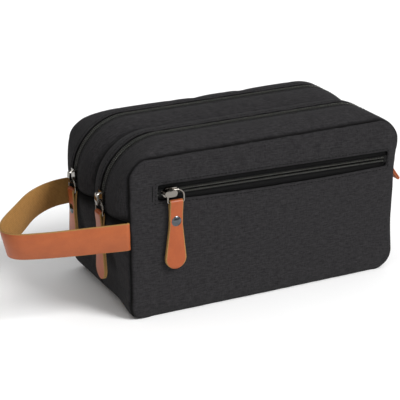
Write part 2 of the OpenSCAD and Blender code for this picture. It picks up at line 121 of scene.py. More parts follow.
STRAP_LO, STRAP_HI = box_mm("strap_leather")
STRAP_X, _, STRAP_Z = joint_mm("strap_flex")
STRAP_W = STRAP_HI[2] - STRAP_LO[2]

# ---------------------------------------------------------------- colours and nodes


def linear(hex_code, alpha=1.0):
    """An sRGB hex value as the linear colour that a shader takes."""
    out = []
    for i in (1, 3, 5):
        c = int(hex_code[i : i + 2], 16) / 255
        out.append(c / 12.92 if c <= 0.04045 else ((c + 0.055) / 1.055) ** 2.4)
    return (*out, alpha)


def node(tree, kind, inputs=None, stops=(), **settings):
    """Adds one node with its settings and links.

    An input is a value, or the node or socket that feeds it. The stops are those of a colour ramp.
    """
    made = tree.nodes.new(kind)
    for key, value in settings.items():
        setattr(made, key, value)
    for key, value in (inputs or {}).items():
        if isinstance(value, bpy.types.Node):
            value = value.outputs[0]
        if isinstance(value, bpy.types.NodeSocket):
            tree.links.new(value, made.inputs[key])
        else:
            made.inputs[key].default_value = value
    for _ in stops[2:]:
        made.color_ramp.elements.new(0.5)
    for i, (position, colour) in enumerate(stops):
        made.color_ramp.elements[i].position, made.color_ramp.elements[i].color = position, colour
    return made


def new_material(name):
    """An empty material: (material, its node function, shader)."""
    mat = bpy.data.materials.new(name)
    mat.use_nodes = True
    tree = mat.node_tree
    tree.nodes.clear()
    add = functools.partial(node, tree)
    shader = add("ShaderNodeBsdfPrincipled")
    add("ShaderNodeOutputMaterial", {"Surface": shader})
    return mat, add, shader


def feed(mat, shader, **inputs):
    """Sets the shader's own sockets. An underscore in a name stands for a space."""
    for key, value in inputs.items():
        socket = shader.inputs[key.replace("_", " ")]
        if isinstance(value, bpy.types.Node):
            value = value.outputs[0]
        if isinstance(value, bpy.types.NodeSocket):
            mat.node_tree.links.new(value, socket)
        else:
            socket.default_value = value


def grey(v):
    return (v, v, v, 1)


def mix_colour(a, b, t):
    return tuple(x + (y - x) * t for x, y in zip(a, b))


def melange_polyester(name, dark, light, yarn=1.0 * MM, slub=6 * MM):
    """Plain-weave polyester of black and grey yarns: matt, with long slubs along the weft.

    The yarns are about 0.5 mm apart on the real cloth. They are drawn at twice
    that, so that the weave shows. Painted shade darkens the cloth towards black in the bottom of a seam.
    """
    mat, add, shader = new_material(name)
    uv = add("ShaderNodeUVMap", uv_map="UVMap")
    streak = add("ShaderNodeTexNoise", {"Scale": 1.0, "Detail": 3.0, "Roughness": 0.65,
        "Vector": add("ShaderNodeMapping", {"Vector": uv, "Scale": (1 / slub, 1 / (1.1 * yarn), 1)})})
    across = add("ShaderNodeTexNoise", {"Scale": 1.0, "Detail": 2.0, "Roughness": 0.6,
        "Vector": add("ShaderNodeMapping", {"Vector": uv, "Scale": (1 / (1.3 * yarn), 1 / (4 * yarn), 1)})})
    speck = add("ShaderNodeTexNoise", {"Scale": 1.7, "Detail": 2.0, "Roughness": 0.7,
        "Vector": add("ShaderNodeMapping", {"Vector": uv, "Scale": (1 / yarn, 1 / (0.8 * yarn), 1)})})
    tone = add("ShaderNodeMath", {0: streak, 1: 0.4}, operation="MULTIPLY")
    tone = add("ShaderNodeMath", {0: across, 1: 0.2, 2: tone}, operation="MULTIPLY_ADD")
    tone = add("ShaderNodeMath", {0: speck, 1: 0.4, 2: tone}, operation="MULTIPLY_ADD")
    colour = add("ShaderNodeValToRGB", {"Fac": tone},
        [(0.34, dark), (0.5, mix_colour(dark, light, 0.42)), (0.68, light)])
    # painted shade: the seam attribute mixes the cloth towards near black in the seams' folds
    seam = add("ShaderNodeAttribute", attribute_name="seam").outputs["Fac"]
    seam = add("ShaderNodeMath", {0: seam, 1: 0.95}, operation="MULTIPLY")
    colour = add("ShaderNodeMix", {0: seam, 6: colour, 7: grey(0.001)}, data_type="RGBA").outputs[2]
    fine = add("ShaderNodeMapping", {"Vector": uv, "Scale": (1 / yarn, 1 / yarn, 1)})
    warp = add("ShaderNodeTexWave", {"Vector": fine, "Scale": 0.5, "Distortion": 2.0}, bands_direction="X")
    weft = add("ShaderNodeTexWave", {"Vector": fine, "Scale": 0.5, "Distortion": 2.0}, bands_direction="Y")
    weave = add("ShaderNodeMath", {0: warp, 1: 0.5, 2: weft}, operation="MULTIPLY_ADD")
    weave = add("ShaderNodeMath", {0: weave, 1: streak}, operation="ADD")
    rumple = add("ShaderNodeTexNoise", {"Scale": 1.0, "Detail": 3.0, "Roughness": 0.55,
        "Vector": add("ShaderNodeMapping", {"Vector": uv, "Scale": (1 / (26 * MM), 1 / (17 * MM), 1)})})
    under = add("ShaderNodeBump", {"Height": rumple, "Distance": 1.1 * MM, "Strength": 0.55})
    feed(mat, shader, Base_Color=colour, Roughness=0.9, Specular_IOR_Level=0.08, Sheen_Weight=0.02,
        Sheen_Roughness=0.5,
        Normal=add("ShaderNodeBump", {"Height": weave, "Distance": 0.1 * MM, "Strength": 0.6, "Normal": under}))
    return mat


def woven_tape(name, dark, light, yarn, angle=0.0, gloss=0.7):
    """Narrow woven tape, such as zip tape, grosgrain or webbing: fine ribs, slightly shiny yarn."""
    mat, add, shader = new_material(name)
    uv = add("ShaderNodeUVMap", uv_map="UVMap")
    fine = add("ShaderNodeMapping", {"Vector": uv, "Scale": (1 / yarn, 1 / yarn, 1), "Rotation": (0, 0, angle)})
    ribs = add("ShaderNodeTexWave", {"Vector": fine, "Scale": 0.32, "Distortion": 0.4, "Detail": 1.0},
        bands_direction="X")
    cross = add("ShaderNodeTexWave", {"Vector": fine, "Scale": 0.32, "Distortion": 0.4, "Detail": 1.0},
        bands_direction="Y")
    weave = add("ShaderNodeMath", {0: ribs, 1: cross}, operation="MULTIPLY")
    fleck = add("ShaderNodeTexNoise", {"Scale": 1.0, "Detail": 3.0, "Roughness": 0.6,
        "Vector": add("ShaderNodeMapping", {"Vector": uv, "Scale": (1 / (3 * yarn), 1 / (3 * yarn), 1)})})
    tone = add("ShaderNodeMath", {0: weave, 1: 0.6}, operation="MULTIPLY")
    tone = add("ShaderNodeMath", {0: fleck, 1: 0.5, 2: tone}, operation="MULTIPLY_ADD")
    feed(mat, shader, Base_Color=add("ShaderNodeValToRGB", {"Fac": tone}, [(0.15, dark), (0.75, light)]),
        Roughness=gloss, Specular_IOR_Level=0.1, Sheen_Weight=0.02,
        Normal=add("ShaderNodeBump", {"Height": weave, "Distance": 0.2 * MM, "Strength": 0.8}))
    return mat


def coated_leather(name, deep, face, rough=0.42, grain=0.9 * MM):
    """Pigmented smooth leather: an even coat over fine pebble grain, with soft cloudy colour."""
    mat, add, shader = new_material(name)
    uv = add("ShaderNodeUVMap", uv_map="UVMap")
    cloud = add("ShaderNodeTexNoise", {"Scale": 1.0, "Detail": 4.0, "Roughness": 0.6,
        "Vector": add("ShaderNodeMapping", {"Vector": uv, "Scale": (1 / (14 * MM), 1 / (9 * MM), 1)})})
    fine = add("ShaderNodeTexNoise", {"Scale": 1.0, "Detail": 2.0, "Roughness": 0.6,
        "Vector": add("ShaderNodeMapping", {"Vector": uv, "Scale": (1 / (1.6 * MM), 1 / (1.6 * MM), 1)})})
    tone = add("ShaderNodeMath", {0: cloud, 1: 0.7}, operation="MULTIPLY")
    tone = add("ShaderNodeMath", {0: fine, 1: 0.3, 2: tone}, operation="MULTIPLY_ADD")
    pebbles = add("ShaderNodeTexVoronoi", {"Scale": 1.0, "Randomness": 0.9,
        "Vector": add("ShaderNodeMapping", {"Vector": uv, "Scale": (1 / grain, 1 / grain, 1)})}, feature="SMOOTH_F1")
    feed(mat, shader, Base_Color=add("ShaderNodeValToRGB", {"Fac": tone}, [(0.3, deep), (0.62, face)]),
        Roughness=add("ShaderNodeMath", {0: fine, 1: 0.16, 2: rough - 0.08}, operation="MULTIPLY_ADD"),
        Specular_IOR_Level=0.32, Coat_Weight=0.06, Coat_Roughness=0.3,
        Normal=add("ShaderNodeBump", {"Height": pebbles, "Distance": 0.12 * MM, "Strength": 0.35}))
    return mat


def raw_leather(name, deep, face):
    """Cut edge and flesh side of the leather: fibrous, golden and dull."""
    mat, add, shader = new_material(name)
    place = add("ShaderNodeTexCoord").outputs["Object"]
    fibre = add("ShaderNodeTexNoise", {"Scale": 1.0, "Detail": 3.0, "Roughness": 0.7,
        "Vector": add("ShaderNodeMapping", {"Vector": place, "Scale": (1 / (0.7 * MM),) * 3})})
    feed(mat, shader, Base_Color=add("ShaderNodeValToRGB", {"Fac": fibre}, [(0.3, deep), (0.7, face)]), Roughness=0.9,
        Normal=add("ShaderNodeBump", {"Height": fibre, "Distance": 0.25 * MM, "Strength": 0.6}))
    return mat


def nickel_plate(name, face):
    """Tumbled zinc with polished nickel plate: a dark mirror, faintly warm, with soft handling marks."""
    mat, add, shader = new_material(name)
    place = add("ShaderNodeTexCoord").outputs["Object"]
    marks = add("ShaderNodeTexNoise", {"Scale": 1.0, "Detail": 4.0, "Roughness": 0.6,
        "Vector": add("ShaderNodeMapping", {"Vector": place, "Scale": (1 / (2.2 * MM),) * 3})})
    feed(mat, shader, Metallic=1.0,
        Base_Color=add("ShaderNodeValToRGB", {"Fac": marks}, [(0.3, mix_colour(face, grey(0.2), 0.3)), (0.65, face)]),
        Roughness=add("ShaderNodeValToRGB", {"Fac": marks}, [(0.35, grey(0.1)), (0.75, grey(0.24))]),
        Normal=add("ShaderNodeBump", {"Height": marks, "Distance": 0.05 * MM, "Strength": 0.25}))
    return mat


def moulded_nylon(name, dark, light, gloss=0.3):
    """Drawn nylon filament, as in zip coils and stops: black, smooth and half glossy."""
    mat, add, shader = new_material(name)
    place = add("ShaderNodeTexCoord").outputs["Object"]
    fleck = add("ShaderNodeTexNoise", {"Scale": 1.0, "Detail": 2.0, "Roughness": 0.5,
        "Vector": add("ShaderNodeMapping", {"Vector": place, "Scale": (1 / (0.9 * MM),) * 3})})
    feed(mat, shader, Base_Color=add("ShaderNodeValToRGB", {"Fac": fleck}, [(0.35, dark), (0.7, light)]),
        Roughness=gloss, Specular_IOR_Level=0.3 if gloss < 0.5 else 0.1,
        Normal=add("ShaderNodeBump", {"Height": fleck, "Distance": 0.04 * MM, "Strength": 0.3}))
    return mat


def lining_taffeta(name, dark, light):
    """Plain polyester taffeta: thin, slightly shiny, fine even weave. It takes object coordinates."""
    mat, add, shader = new_material(name)
    place = add("ShaderNodeTexCoord").outputs["Object"]
    weave = add("ShaderNodeTexWave", {"Scale": 0.4, "Distortion": 0.5, "Vector": add("ShaderNodeMapping",
        {"Vector": place, "Scale": (1 / (0.8 * MM),) * 3, "Rotation": (0.3, 0.2, 0.4)})}, bands_direction="DIAGONAL")
    cloud = add("ShaderNodeTexNoise", {"Scale": 1.0, "Detail": 3.0, "Roughness": 0.6,
        "Vector": add("ShaderNodeMapping", {"Vector": place, "Scale": (1 / (12 * MM),) * 3})})
    tone = add("ShaderNodeMath", {0: weave, 1: 0.4}, operation="MULTIPLY")
    tone = add("ShaderNodeMath", {0: cloud, 1: 0.6, 2: tone}, operation="MULTIPLY_ADD")
    feed(mat, shader, Base_Color=add("ShaderNodeValToRGB", {"Fac": tone}, [(0.25, dark), (0.75, light)]),
        Roughness=0.6, Normal=add("ShaderNodeBump", {"Height": weave, "Distance": 0.1 * MM, "Strength": 0.4}))
    return mat


def painted_floor(name, colour):
    """Matt painted studio floor with a faint eggshell mottle."""
    mat, add, shader = new_material(name)
    place = add("ShaderNodeTexCoord").outputs["Object"]
    mottle = add("ShaderNodeTexNoise", {"Scale": 1.0, "Detail": 2.0, "Roughness": 0.5,
        "Vector": add("ShaderNodeMapping", {"Vector": place, "Scale": (9, 9, 9)})})
    feed(mat, shader, Roughness=0.85, Base_Color=add("ShaderNodeValToRGB", {"Fac": mottle},
        [(0.2, mix_colour(colour, grey(0), 0.03)), (0.8, colour)]))
    return mat


# ---------------------------------------------------------------- settings


def length(name, description, default, low, high):
    return bpy.props.FloatProperty(name=name, description=description, default=default * MM, min=low * MM,
        max=high * MM, unit="LENGTH", precision=4)


def tint(name, description, hex_code):
    return bpy.props.FloatVectorProperty(name=name, description=description, default=linear(hex_code), size=4,
        min=0, max=1, subtype="COLOR")


class WashBagShell(bpy.types.PropertyGroup):
    panel_corner: length("Panel corner", "Radius of a panel's top corners", 17.5, 14, 28)
    base_corner: length("Base corner", "Radius of the bag's bottom corners", 16, 10, 22)
    middle_corner: length("Middle corner", "Radius of the top corners between the compartments", 38, 26, 44)
    cloth: length("Cloth", "Thickness of the padded cloth", 1.3, 0.8, 2)
    swell: bpy.props.FloatProperty(name="Swell", description="Pressure that fills the cloth out", default=1.0,
        min=0, max=6)
    slack: bpy.props.FloatProperty(name="Slack", description="How much longer the cloth is than its frame",
        default=0.006, min=0, max=0.06, subtype="FACTOR")
    dark_yarn: tint("Dark yarn", "Darker yarn of the shell cloth", "#171618")
    light_yarn: tint("Light yarn", "Lighter yarn of the shell cloth", "#393839")
    lining: tint("Lining", "Colour of the lining", "#57575a")
    binding: tint("Binding", "Colour of the seam bindings", "#1b1b1c")


class WashBagZips(bpy.types.PropertyGroup):
    pitch: length("Pitch", "Distance from one tooth to the next on the same side", 1.5, 1, 2.2)
    tape: tint("Tape", "Colour of the zip tapes", "#101011")
    coil: tint("Coil", "Colour of the zip coils", "#343531")
    rivet: tint("Rivet", "Colour of the rivets' caps", "#54585d")
    nickel: tint("Nickel", "Colour of the sliders and rings", "#858079")


class WashBagLeather(bpy.types.PropertyGroup):
    reach: length("Reach", "How far the strap's loop stands out from its hinge line", 89, 70, 120)
    face: tint("Strap face", "Colour of the strap's leather", "#a5562c")
    pull: tint("Pull face", "Colour of the zip pulls", "#a25026")
    raw: tint("Raw edge", "Colour of cut leather edges", "#a07c44")
    backing: tint("Strap backing", "Colour of the strap's woven backing", "#ad7f47")


class WashBagStage(bpy.types.PropertyGroup):
    floor: tint("Floor", "Colour of the floor", "#ffffff")
    key: bpy.props.FloatProperty(name="Key", description="Strength of the soft main light", default=2.6, min=0,
        max=20)
    fill: bpy.props.FloatProperty(name="Fill", description="Power of the fill light", default=2, min=0, max=400,
        unit="POWER")
    sky: bpy.props.FloatProperty(name="Sky", description="Strength of the light from all round", default=0.8,
        min=0, max=4)


def settings():
    return bpy.context.scene.wash_bag_shell, bpy.context.scene.wash_bag_zips, bpy.context.scene.wash_bag_leather


_MATERIALS = {}


def material(key):
    """Makes each material once, when a piece first asks for it."""
    if key not in _MATERIALS:
        shell, zips, leather = settings()
        c = tuple
        _MATERIALS[key] = {
            "shell": lambda: melange_polyester("melange_polyester", c(shell.dark_yarn), c(shell.light_yarn)),
            "lining": lambda: lining_taffeta("lining_taffeta", mix_colour(c(shell.lining), grey(0), 0.35),
                c(shell.lining)),
            "binding": lambda: lining_taffeta("binding_grosgrain", grey(0.003), c(shell.binding)),
            "tape": lambda: woven_tape("zip_tape_twill", grey(0.004), c(zips.tape), 0.9 * MM, math.pi / 4),
            "coil": lambda: moulded_nylon("zip_coil_nylon", grey(0.008), c(zips.coil)),
            "nickel": lambda: nickel_plate("nickel_plate", c(zips.nickel)),
            "rivet": lambda: nickel_plate("black_nickel_plate", c(zips.rivet)),
            # light grey beads on the coils: sewing thread, and a painted highlight on the coil teeth
            "coil_stitches_and_highlights": lambda: moulded_nylon("coil_stitches_and_highlights_polyester", linear("#62625e"), linear("#9c9c95"), 0.6),
            "thread": lambda: moulded_nylon("polyester_thread", grey(0.003), grey(0.011), 0.75),
            "stop": lambda: moulded_nylon("zip_stop_nylon", grey(0.003), grey(0.009), 0.6),
            "strap": lambda: coated_leather("strap_leather", mix_colour(c(leather.face), linear("#7a3a20"), 0.35),
                c(leather.face), 0.45),
            "pull": lambda: coated_leather("pull_leather", mix_colour(c(leather.pull), linear("#74321b"), 0.35),
                c(leather.pull), 0.38),
            "raw": lambda: raw_leather("raw_leather", mix_colour(c(leather.raw), linear("#5a3a1c"), 0.5),
                c(leather.raw)),
            "backing": lambda: woven_tape("strap_webbing", mix_colour(c(leather.backing), grey(0), 0.45),
                c(leather.backing), 1.2 * MM, 0.0, 0.85),
        }[key]()
    return _MATERIALS[key]


# ---------------------------------------------------------------- mesh helpers


def mesh_object(name, points, faces, mats, uvs=None, face_mats=None, smooth=True, seam=None):
    """A mesh object at the origin. Points are in millimetres in the bag's frame; uvs are metres, one per point."""
    me = bpy.data.meshes.new(name)
    me.from_pydata([Vector(p) * MM for p in points], [], faces)
    for m in mats:
        me.materials.append(m)
    if face_mats:
        me.polygons.foreach_set("material_index", face_mats)
    if uvs:
        layer = me.uv_layers.new(name="UVMap")
        for loop in me.loops:
            layer.data[loop.index].uv = uvs[loop.vertex_index]
    if smooth:
        me.polygons.foreach_set("use_smooth", [True] * len(me.polygons))
    # the seam attribute carries painted shade for the cloth shader
    if seam:
        me.attributes.new("seam", "FLOAT", "POINT").data.foreach_set("value", seam)
    me.update()
    obj = bpy.data.objects.new(name, me)
    bpy.context.scene.collection.objects.link(obj)
    return obj


def outward(obj):
    """Turns every face of a closed mesh outwards."""
    bm = bmesh.new()
    bm.from_mesh(obj.data)
    bmesh.ops.recalc_face_normals(bm, faces=bm.faces)
    bm.to_mesh(obj.data)
    bm.free()
    return obj


def baked(obj):
    """Turns an object and its modifiers into a plain mesh object."""
    graph = bpy.context.evaluated_depsgraph_get()
    graph.update()
    me = bpy.data.meshes.new_from_object(obj.evaluated_get(graph), preserve_all_data_layers=True, depsgraph=graph)
    obj.modifiers.clear()
    old = obj.data
    obj.data = me
    if old.users == 0:
        bpy.data.meshes.remove(old)
    return obj


def finish_cloth(obj, thickness):
    """Smooths a cloth surface and gives it thickness inwards."""
    sub = obj.modifiers.new("Subdivision", "SUBSURF")
    sub.levels = sub.render_levels = 1
    wall = obj.modifiers.new("Thickness", "SOLIDIFY")
    wall.thickness = thickness
    wall.offset = -1
    return baked(obj)


def catmull(p0, p1, p2, p3, t):
    return 0.5 * (2 * p1 + (p2 - p0) * t + (2 * p0 - 5 * p1 + 4 * p2 - p3) * t * t
        + (3 * p1 - p0 - 3 * p2 + p3) * t * t * t)


def smooth_step(t):
    t = min(max(t, 0.0), 1.0)
    return t * t * (3 - 2 * t)


# ---------------------------------------------------------------- shell surfaces


def fullness(y):
    d = abs(y) - ZIP_Y
    span = SEAM_Y - ZIP_Y if d > 0 else ZIP_Y
    s = max(abs(d) - FLAT_HALF, 0) / (span - FLAT_HALF)
    return 1 - s * s


def corner_radius(y):
    shell = settings()[0]
    edge = (shell.panel_corner if abs(y) > ZIP_Y else shell.middle_corner) / MM
    return edge + (ZIP_R - edge) * fullness(y)


def arch_row(y, sink, n_end=5, n_arc=22, n_top=62):
    """One row of the arched top at depth y, from the left end seam over to the right, as (x, z, length)."""
    f = fullness(y)
    a, top, r = HALF_W + CREST * f, PANEL_H + CREST * f, corner_radius(y)
    pts = [(-a, END_SEAM + (top - r - END_SEAM) * i / n_end, -1, 0) for i in range(n_end)]
    for i in range(n_arc + 1):
        w = math.pi - math.pi / 2 * i / n_arc
        pts.append((-a + r + r * math.cos(w), top - r + r * math.sin(w), math.cos(w), math.sin(w)))
    pts += [((a - r) * (2 * i / n_top - 1), top, 0, 1) for i in range(1, n_top)]
    for i in range(n_arc + 1):
        w = math.pi / 2 - math.pi / 2 * i / n_arc
        pts.append((a - r + r * math.cos(w), top - r + r * math.sin(w), math.cos(w), math.sin(w)))
    pts += [(a, END_SEAM + (top - r - END_SEAM) * i / n_end, 1, 0) for i in range(n_end - 1, -1, -1)]
    return [(x - nx * sink, z - nz * sink) for x, z, nx, nz in pts]


def low_half(y, z):
    base = settings()[0].base_corner / MM + 6
    return HALF_W + CREST * fullness(y) * smooth_step((z - base) / (END_SEAM - base))


def trough_row(y, sink, n_end=20, n_arc=9, n_flat=62):
    """One row of the lower gusset at depth y, from the left end seam down and round to the right one."""
    b = settings()[0].base_corner / MM
    pts = []
    for i in range(n_end):
        z = END_SEAM + (b - END_SEAM) * i / n_end
        pts.append((-low_half(y, z), z, -1, 0))
    for i in range(n_arc + 1):
        w = math.pi + math.pi / 2 * i / n_arc
        pts.append((-HALF_W + b + b * math.cos(w), b + b * math.sin(w), math.cos(w), math.sin(w)))
    pts += [((HALF_W - b) * (2 * i / n_flat - 1), 0, 0, -1) for i in range(1, n_flat)]
    for i in range(n_arc + 1):
        w = 1.5 * math.pi + math.pi / 2 * i / n_arc
        pts.append((HALF_W - b + b * math.cos(w), b + b * math.sin(w), math.cos(w), math.sin(w)))
    for i in range(n_end - 1, -1, -1):
        z = END_SEAM + (b - END_SEAM) * i / n_end
        pts.append((low_half(y, z), z, 1, 0))
    return [(x - nx * sink, z - nz * sink) for x, z, nx, nz in pts]


ROLL_DEPTH, ROLL_REACH = 2.4, 0.9   # how a cloth edge rolls down into its seam


def roll(distance):
    return ROLL_DEPTH * math.exp(-distance / ROLL_REACH)


def leaning(p):
    """Uneven filling: the right front corner bulges beside the zip and pulls in below, and the left foot is sharp."""
    side = smooth_step((p.x - 70) / 45) * (1 - smooth_step((p.y + 48) / 22))
    corner = 2.3 * math.exp(-(((p.x + 114) ** 2 + (p.z - 4.5) ** 2) / 70)) * (1 - smooth_step((p.y + 55) / 30))
    return Vector((side * (3.0 * math.exp(-((p.z - 112) / 15) ** 2) - 1.3 * math.exp(-((p.z - 42) / 20) ** 2))
        - corner, 0, -corner))


def rows_between(a, b, step, fine_a, fine_b):
    """Depths from a to b, closer together near an end that rolls into a seam."""
    span = abs(b - a)
    head = [0, 0.35, 0.9, 1.8, 3.2] if fine_a else [0, 0.5, 1.6]
    tail = [0, 0.35, 0.9, 1.8, 3.2] if fine_b else [0, 0.5, 1.6]
    inner = span - head[-1] - tail[-1]
    n = max(int(round(inner / step)), 1)
    d = head + [head[-1] + inner * i / n for i in range(1, n)] + [span - t for t in reversed(tail)]
    sign = 1 if b > a else -1
    return [a + sign * t for t in d]


class Patch:
    """A grid of points with its seams: rows by columns, plus which points are held by stitching."""

    def __init__(self, name, grid, uv, nodes):
        self.name, self.nodes = name, nodes
        self.rows, self.cols = len(grid), len(grid[0])
        self.points = [Vector(p) for row in grid for p in row]
        self.uv = [t for row in uv for t in row]
        self.held = set()
        # painted shade for each point, strongest in the bottom of a seam
        self.seam = [0.0] * len(self.points)
        self.cap = [3.0] * len(self.points)
        self.faces = [
            (r * self.cols + c, r * self.cols + c + 1, (r + 1) * self.cols + c + 1, (r + 1) * self.cols + c)
            for r in range(self.rows - 1) for c in range(self.cols - 1)]

    def hold_edges(self):
        for r in range(self.rows):
            for c in range(self.cols):
                if r in (0, self.rows - 1) or c in (0, self.cols - 1):
                    self.held.add(r * self.cols + c)

    def paint_seam_shade(self, rows, cols):
        """Paints shade on the points in the bottom of a seam: rows and cols name the grid's stitched edges."""
        for r in range(self.rows):
            for c in range(self.cols):
                near = min([abs(r - (k % self.rows)) for k in rows] + [abs(c - (k % self.cols)) for k in cols] + [9])
                self.seam[r * self.cols + c] = (1.0, 1.0, 0.55, 0.1)[near] if near < 4 else 0.0

    def flip(self):
        self.faces = [tuple(reversed(f)) for f in self.faces]


def length_along(row):
    total, out = 0.0, [0.0]
    for a, b in zip(row, row[1:]):
        total += math.hypot(b[0] - a[0], b[1] - a[1])
        out.append(total)
    return out


def strip_patch(name, y0, y1, seam_at, nodes):
    """One arched strip from its folded edge beside the zip (y0) to its seam (y1)."""
    grid, uv = [], []
    depths = rows_between(y0, y1, 2.9, False, True)
    for y in depths:
        row = arch_row(y, roll(abs(y - y1)))
        along = length_along(row)
        grid.append([(x, y, z) for x, z in row])
        uv.append([(s * MM, y * MM) for s in along])
    n = len(grid[0])
    for r, y in enumerate(depths):      # the ends roll into the level seam
        for c in list(range(4)) + list(range(n - 4, n)):
            x, _, z = grid[r][c]
            d = z - END_SEAM
            sink = 0.4 * roll(d * 0.8)
            grid[r][c] = (x - math.copysign(sink, x), y, z)
    patch = Patch(name, grid, uv, nodes)
    patch.hold_edges()
    # painted shade along the strip's seam edge
    patch.paint_seam_shade([-1], [])
    rise = 0.9 if name.startswith("rear_gusset_far") else 2.6     # the back edge stays below the rear zip's crest
    for i, p in enumerate(patch.points):
        near_zip = abs(abs(p.y) - ZIP_Y)
        patch.cap[i] = 0.25 + rise * smooth_step((near_zip - 8) / 9)
        # painted shade along the level seam at the ends
        patch.seam[i] = max(patch.seam[i], math.exp(-((p.z - END_SEAM) / 0.6) ** 2))
        if p.x < -ARC_X + 10:       # painted shade in the fold between the compartments
            patch.seam[i] = max(patch.seam[i], 0.8 * math.exp(-(p.y / 2.6) ** 2))
    return patch


def base_patch(name, side, nodes):
    """A compartment's lower gusset, from its outer seam to the seam between the compartments."""
    grid, uv = [], []
    outer = side * SEAM_Y
    depths = rows_between(outer, side * 0.25, 3.0, True, True)
    for y in depths:
        sink = roll(min(abs(y - outer), abs(y)))
        full, flat = trough_row(y, sink), trough_row(y, 0)
        row = []
        for (x, z), (fx, fz) in zip(full, flat):
            share = 0.3 + 0.7 * smooth_step((z - 4) / 14)   # the bag's weight flattens the seam underneath
            row.append((fx + (x - fx) * share, fz + (z - fz) * share))
        along = length_along(row)
        grid.append([(x, y, z) for x, z in row])
        uv.append([(s * MM, y * MM) for s in along])
    n = len(grid[0])
    for r, y in enumerate(depths):
        for c in list(range(3)) + list(range(n - 3, n)):
            x, _, z = grid[r][c]
            sink = 0.4 * roll(max(END_SEAM - z, 0) * 0.8)
            grid[r][c] = (x - math.copysign(sink, x), y, z)
    patch = Patch(name, grid, uv, nodes)
    patch.hold_edges()
    # painted shade along all four seams of the gusset
    patch.paint_seam_shade([0, -1], [0, -1])
    for i, p in enumerate(patch.points):
        near_zip = abs(abs(p.y) - ZIP_Y)
        hangs = p.x < 0 and p.z > 14
        patch.cap[i] = 0.25 + 2.4 * smooth_step((near_zip - 9) / 9) if hangs else 2.6
        if p.z < 3:
            patch.cap[i] = 0.0
    return patch


def panel_patch(name, side, nodes, window=False):
    """The front or back panel, as rows across its width, with its border rolled into the seam."""
    shell = settings()[0]
    rt, rb = shell.panel_corner / MM, shell.base_corner / MM
    n_corner = 8
    zs = [rb - rb * math.cos(math.pi / 2 * i / n_corner) for i in range(n_corner)]
    low, high = WINDOW_Z - WINDOW_H / 2, WINDOW_Z + WINDOW_H / 2
    stops = [rb, low, high, PANEL_H - rt] if window else [rb, PANEL_H - rt]
    for a, b in zip(stops, stops[1:]):
        n = max(int(round((b - a) / 3.0)), 1)
        zs += [a + (b - a) * i / n for i in range(n)]
    zs += [PANEL_H - rt + rt * math.sin(math.pi / 2 * i / n_corner) for i in range(n_corner + 1)]
    edge = [0, 0.4, 1.0, 2.0, 3.6]
    zs = sorted(set([round(z, 4) for z in zs] + [0.4, 1.0, PANEL_H - 1.0, PANEL_H - 0.4]))
    l, r = (WINDOW_L, WINDOW_R) if window else (-HALF_W * 0.5, HALF_W * 0.5)
    marks = [-HALF_W + 3.6, l, r, HALF_W - 3.6]
    xs = [-HALF_W + e for e in edge[:-1]]
    for a, b in zip(marks, marks[1:]):
        n = max(int(round((b - a) / 3.0)), 1)
        xs += [a + (b - a) * i / n for i in range(n)]
    xs += [HALF_W - e for e in reversed(edge)]
    us = [x / HALF_W for x in xs]
    grid, uv = [], []
    for z in zs:
        if z < rb:
            w = HALF_W - rb + math.sqrt(max(rb * rb - (rb - z) ** 2, 0))
        elif z > PANEL_H - rt:
            w = HALF_W - rt + math.sqrt(max(rt * rt - (z - PANEL_H + rt) ** 2, 0))
        else:
            w = HALF_W
        row = []
        for u in us:
            x = u * w
            d = rounded_distance(x, z, rt, rb)
            y = FRONT_Y - 2.4 * math.exp(-d / 0.9)
            pull_in = math.exp(-d / 4)
            left = smooth_step((-x * -side - 105) / 12) if side > 0 else smooth_step((-x - 105) / 12)
            drift = 0.0
            if window:      # the rows follow the tilted zip, and die out towards the seams
                share = (1 - smooth_step((z - high - 3) / (PANEL_H - high - 5)) if z > high
                    else smooth_step((z - 16) / (low - 16)))
                along = min(max((x - WINDOW_MID) / WINDOW_HALF, -1), 1)
                edge_at = window_edge(along, z > WINDOW_Z) - (WINDOW_H / 2 if z > WINDOW_Z else -WINDOW_H / 2)
                inside = min(abs(z - WINDOW_Z) / (WINDOW_H / 2), 1)
                drift = share * (-math.tan(TILT) * (x - WINDOW_MID) + edge_at * inside)
            row.append((x + 0.9 * pull_in * left * (1 if side < 0 else -1), side * y,
                z + drift - 1.4 * pull_in * smooth_step((z - 112) / 14)))
        grid.append(row)
        uv.append([(u * w * MM, z * MM) for u in us])
    patch = Patch(name, grid, uv, nodes)
    if side > 0:
        patch.flip()
    patch.hold_edges()
    # painted shade along the panel's seamed border
    patch.paint_seam_shade([0, -1], [0, -1])
    for i, p in enumerate(patch.points):
        swept = side < 0 and 12 < p.z < WINDOW_Z + 9
        patch.cap[i] = max(FRONT_Y + 0.3 - abs(p.y), 0) if swept else 1.6 if side < 0 else 3.0
    if window:
        eps = 0.01
        opening = {i for i in range(len(patch.points))
            if l - eps <= patch.points[i].x <= r + eps and low - eps <= zs[i // patch.cols] <= high + eps}
        patch.faces = [f for f in patch.faces if not set(f) <= opening]
        for i in opening:
            patch.held.add(i)
            patch.points[i].y = -(FRONT_Y - 0.1)
    return patch


WINDOW_H = 14.0


def turned(x, z):
    """Turns a point of the front panel with the pocket's zip, which climbs a little to the left."""
    dx, dz = x - WINDOW_MID, z - WINDOW_Z
    c, s = math.cos(TILT), math.sin(TILT)
    return WINDOW_MID + dx * c + dz * s, WINDOW_Z - dx * s + dz * c


def window_edge(u, upper):
    """Height of the pocket's opening above its zip's centre line, at -1 to 1 along it: the lower lip hangs open."""
    return 6.3 if upper else -6.3 - 2.3 * (1 - u * u)


def rounded_distance(x, z, rt, rb):
    """How far a point of a panel is from its outline."""
    r = rt if z > PANEL_H / 2 else rb
    dx, dz = HALF_W - abs(x), min(z, PANEL_H - z)
    if dx < r and dz < r:
        return max(r - math.hypot(r - dx, r - dz), 0)
    return max(min(dx, dz), 0)


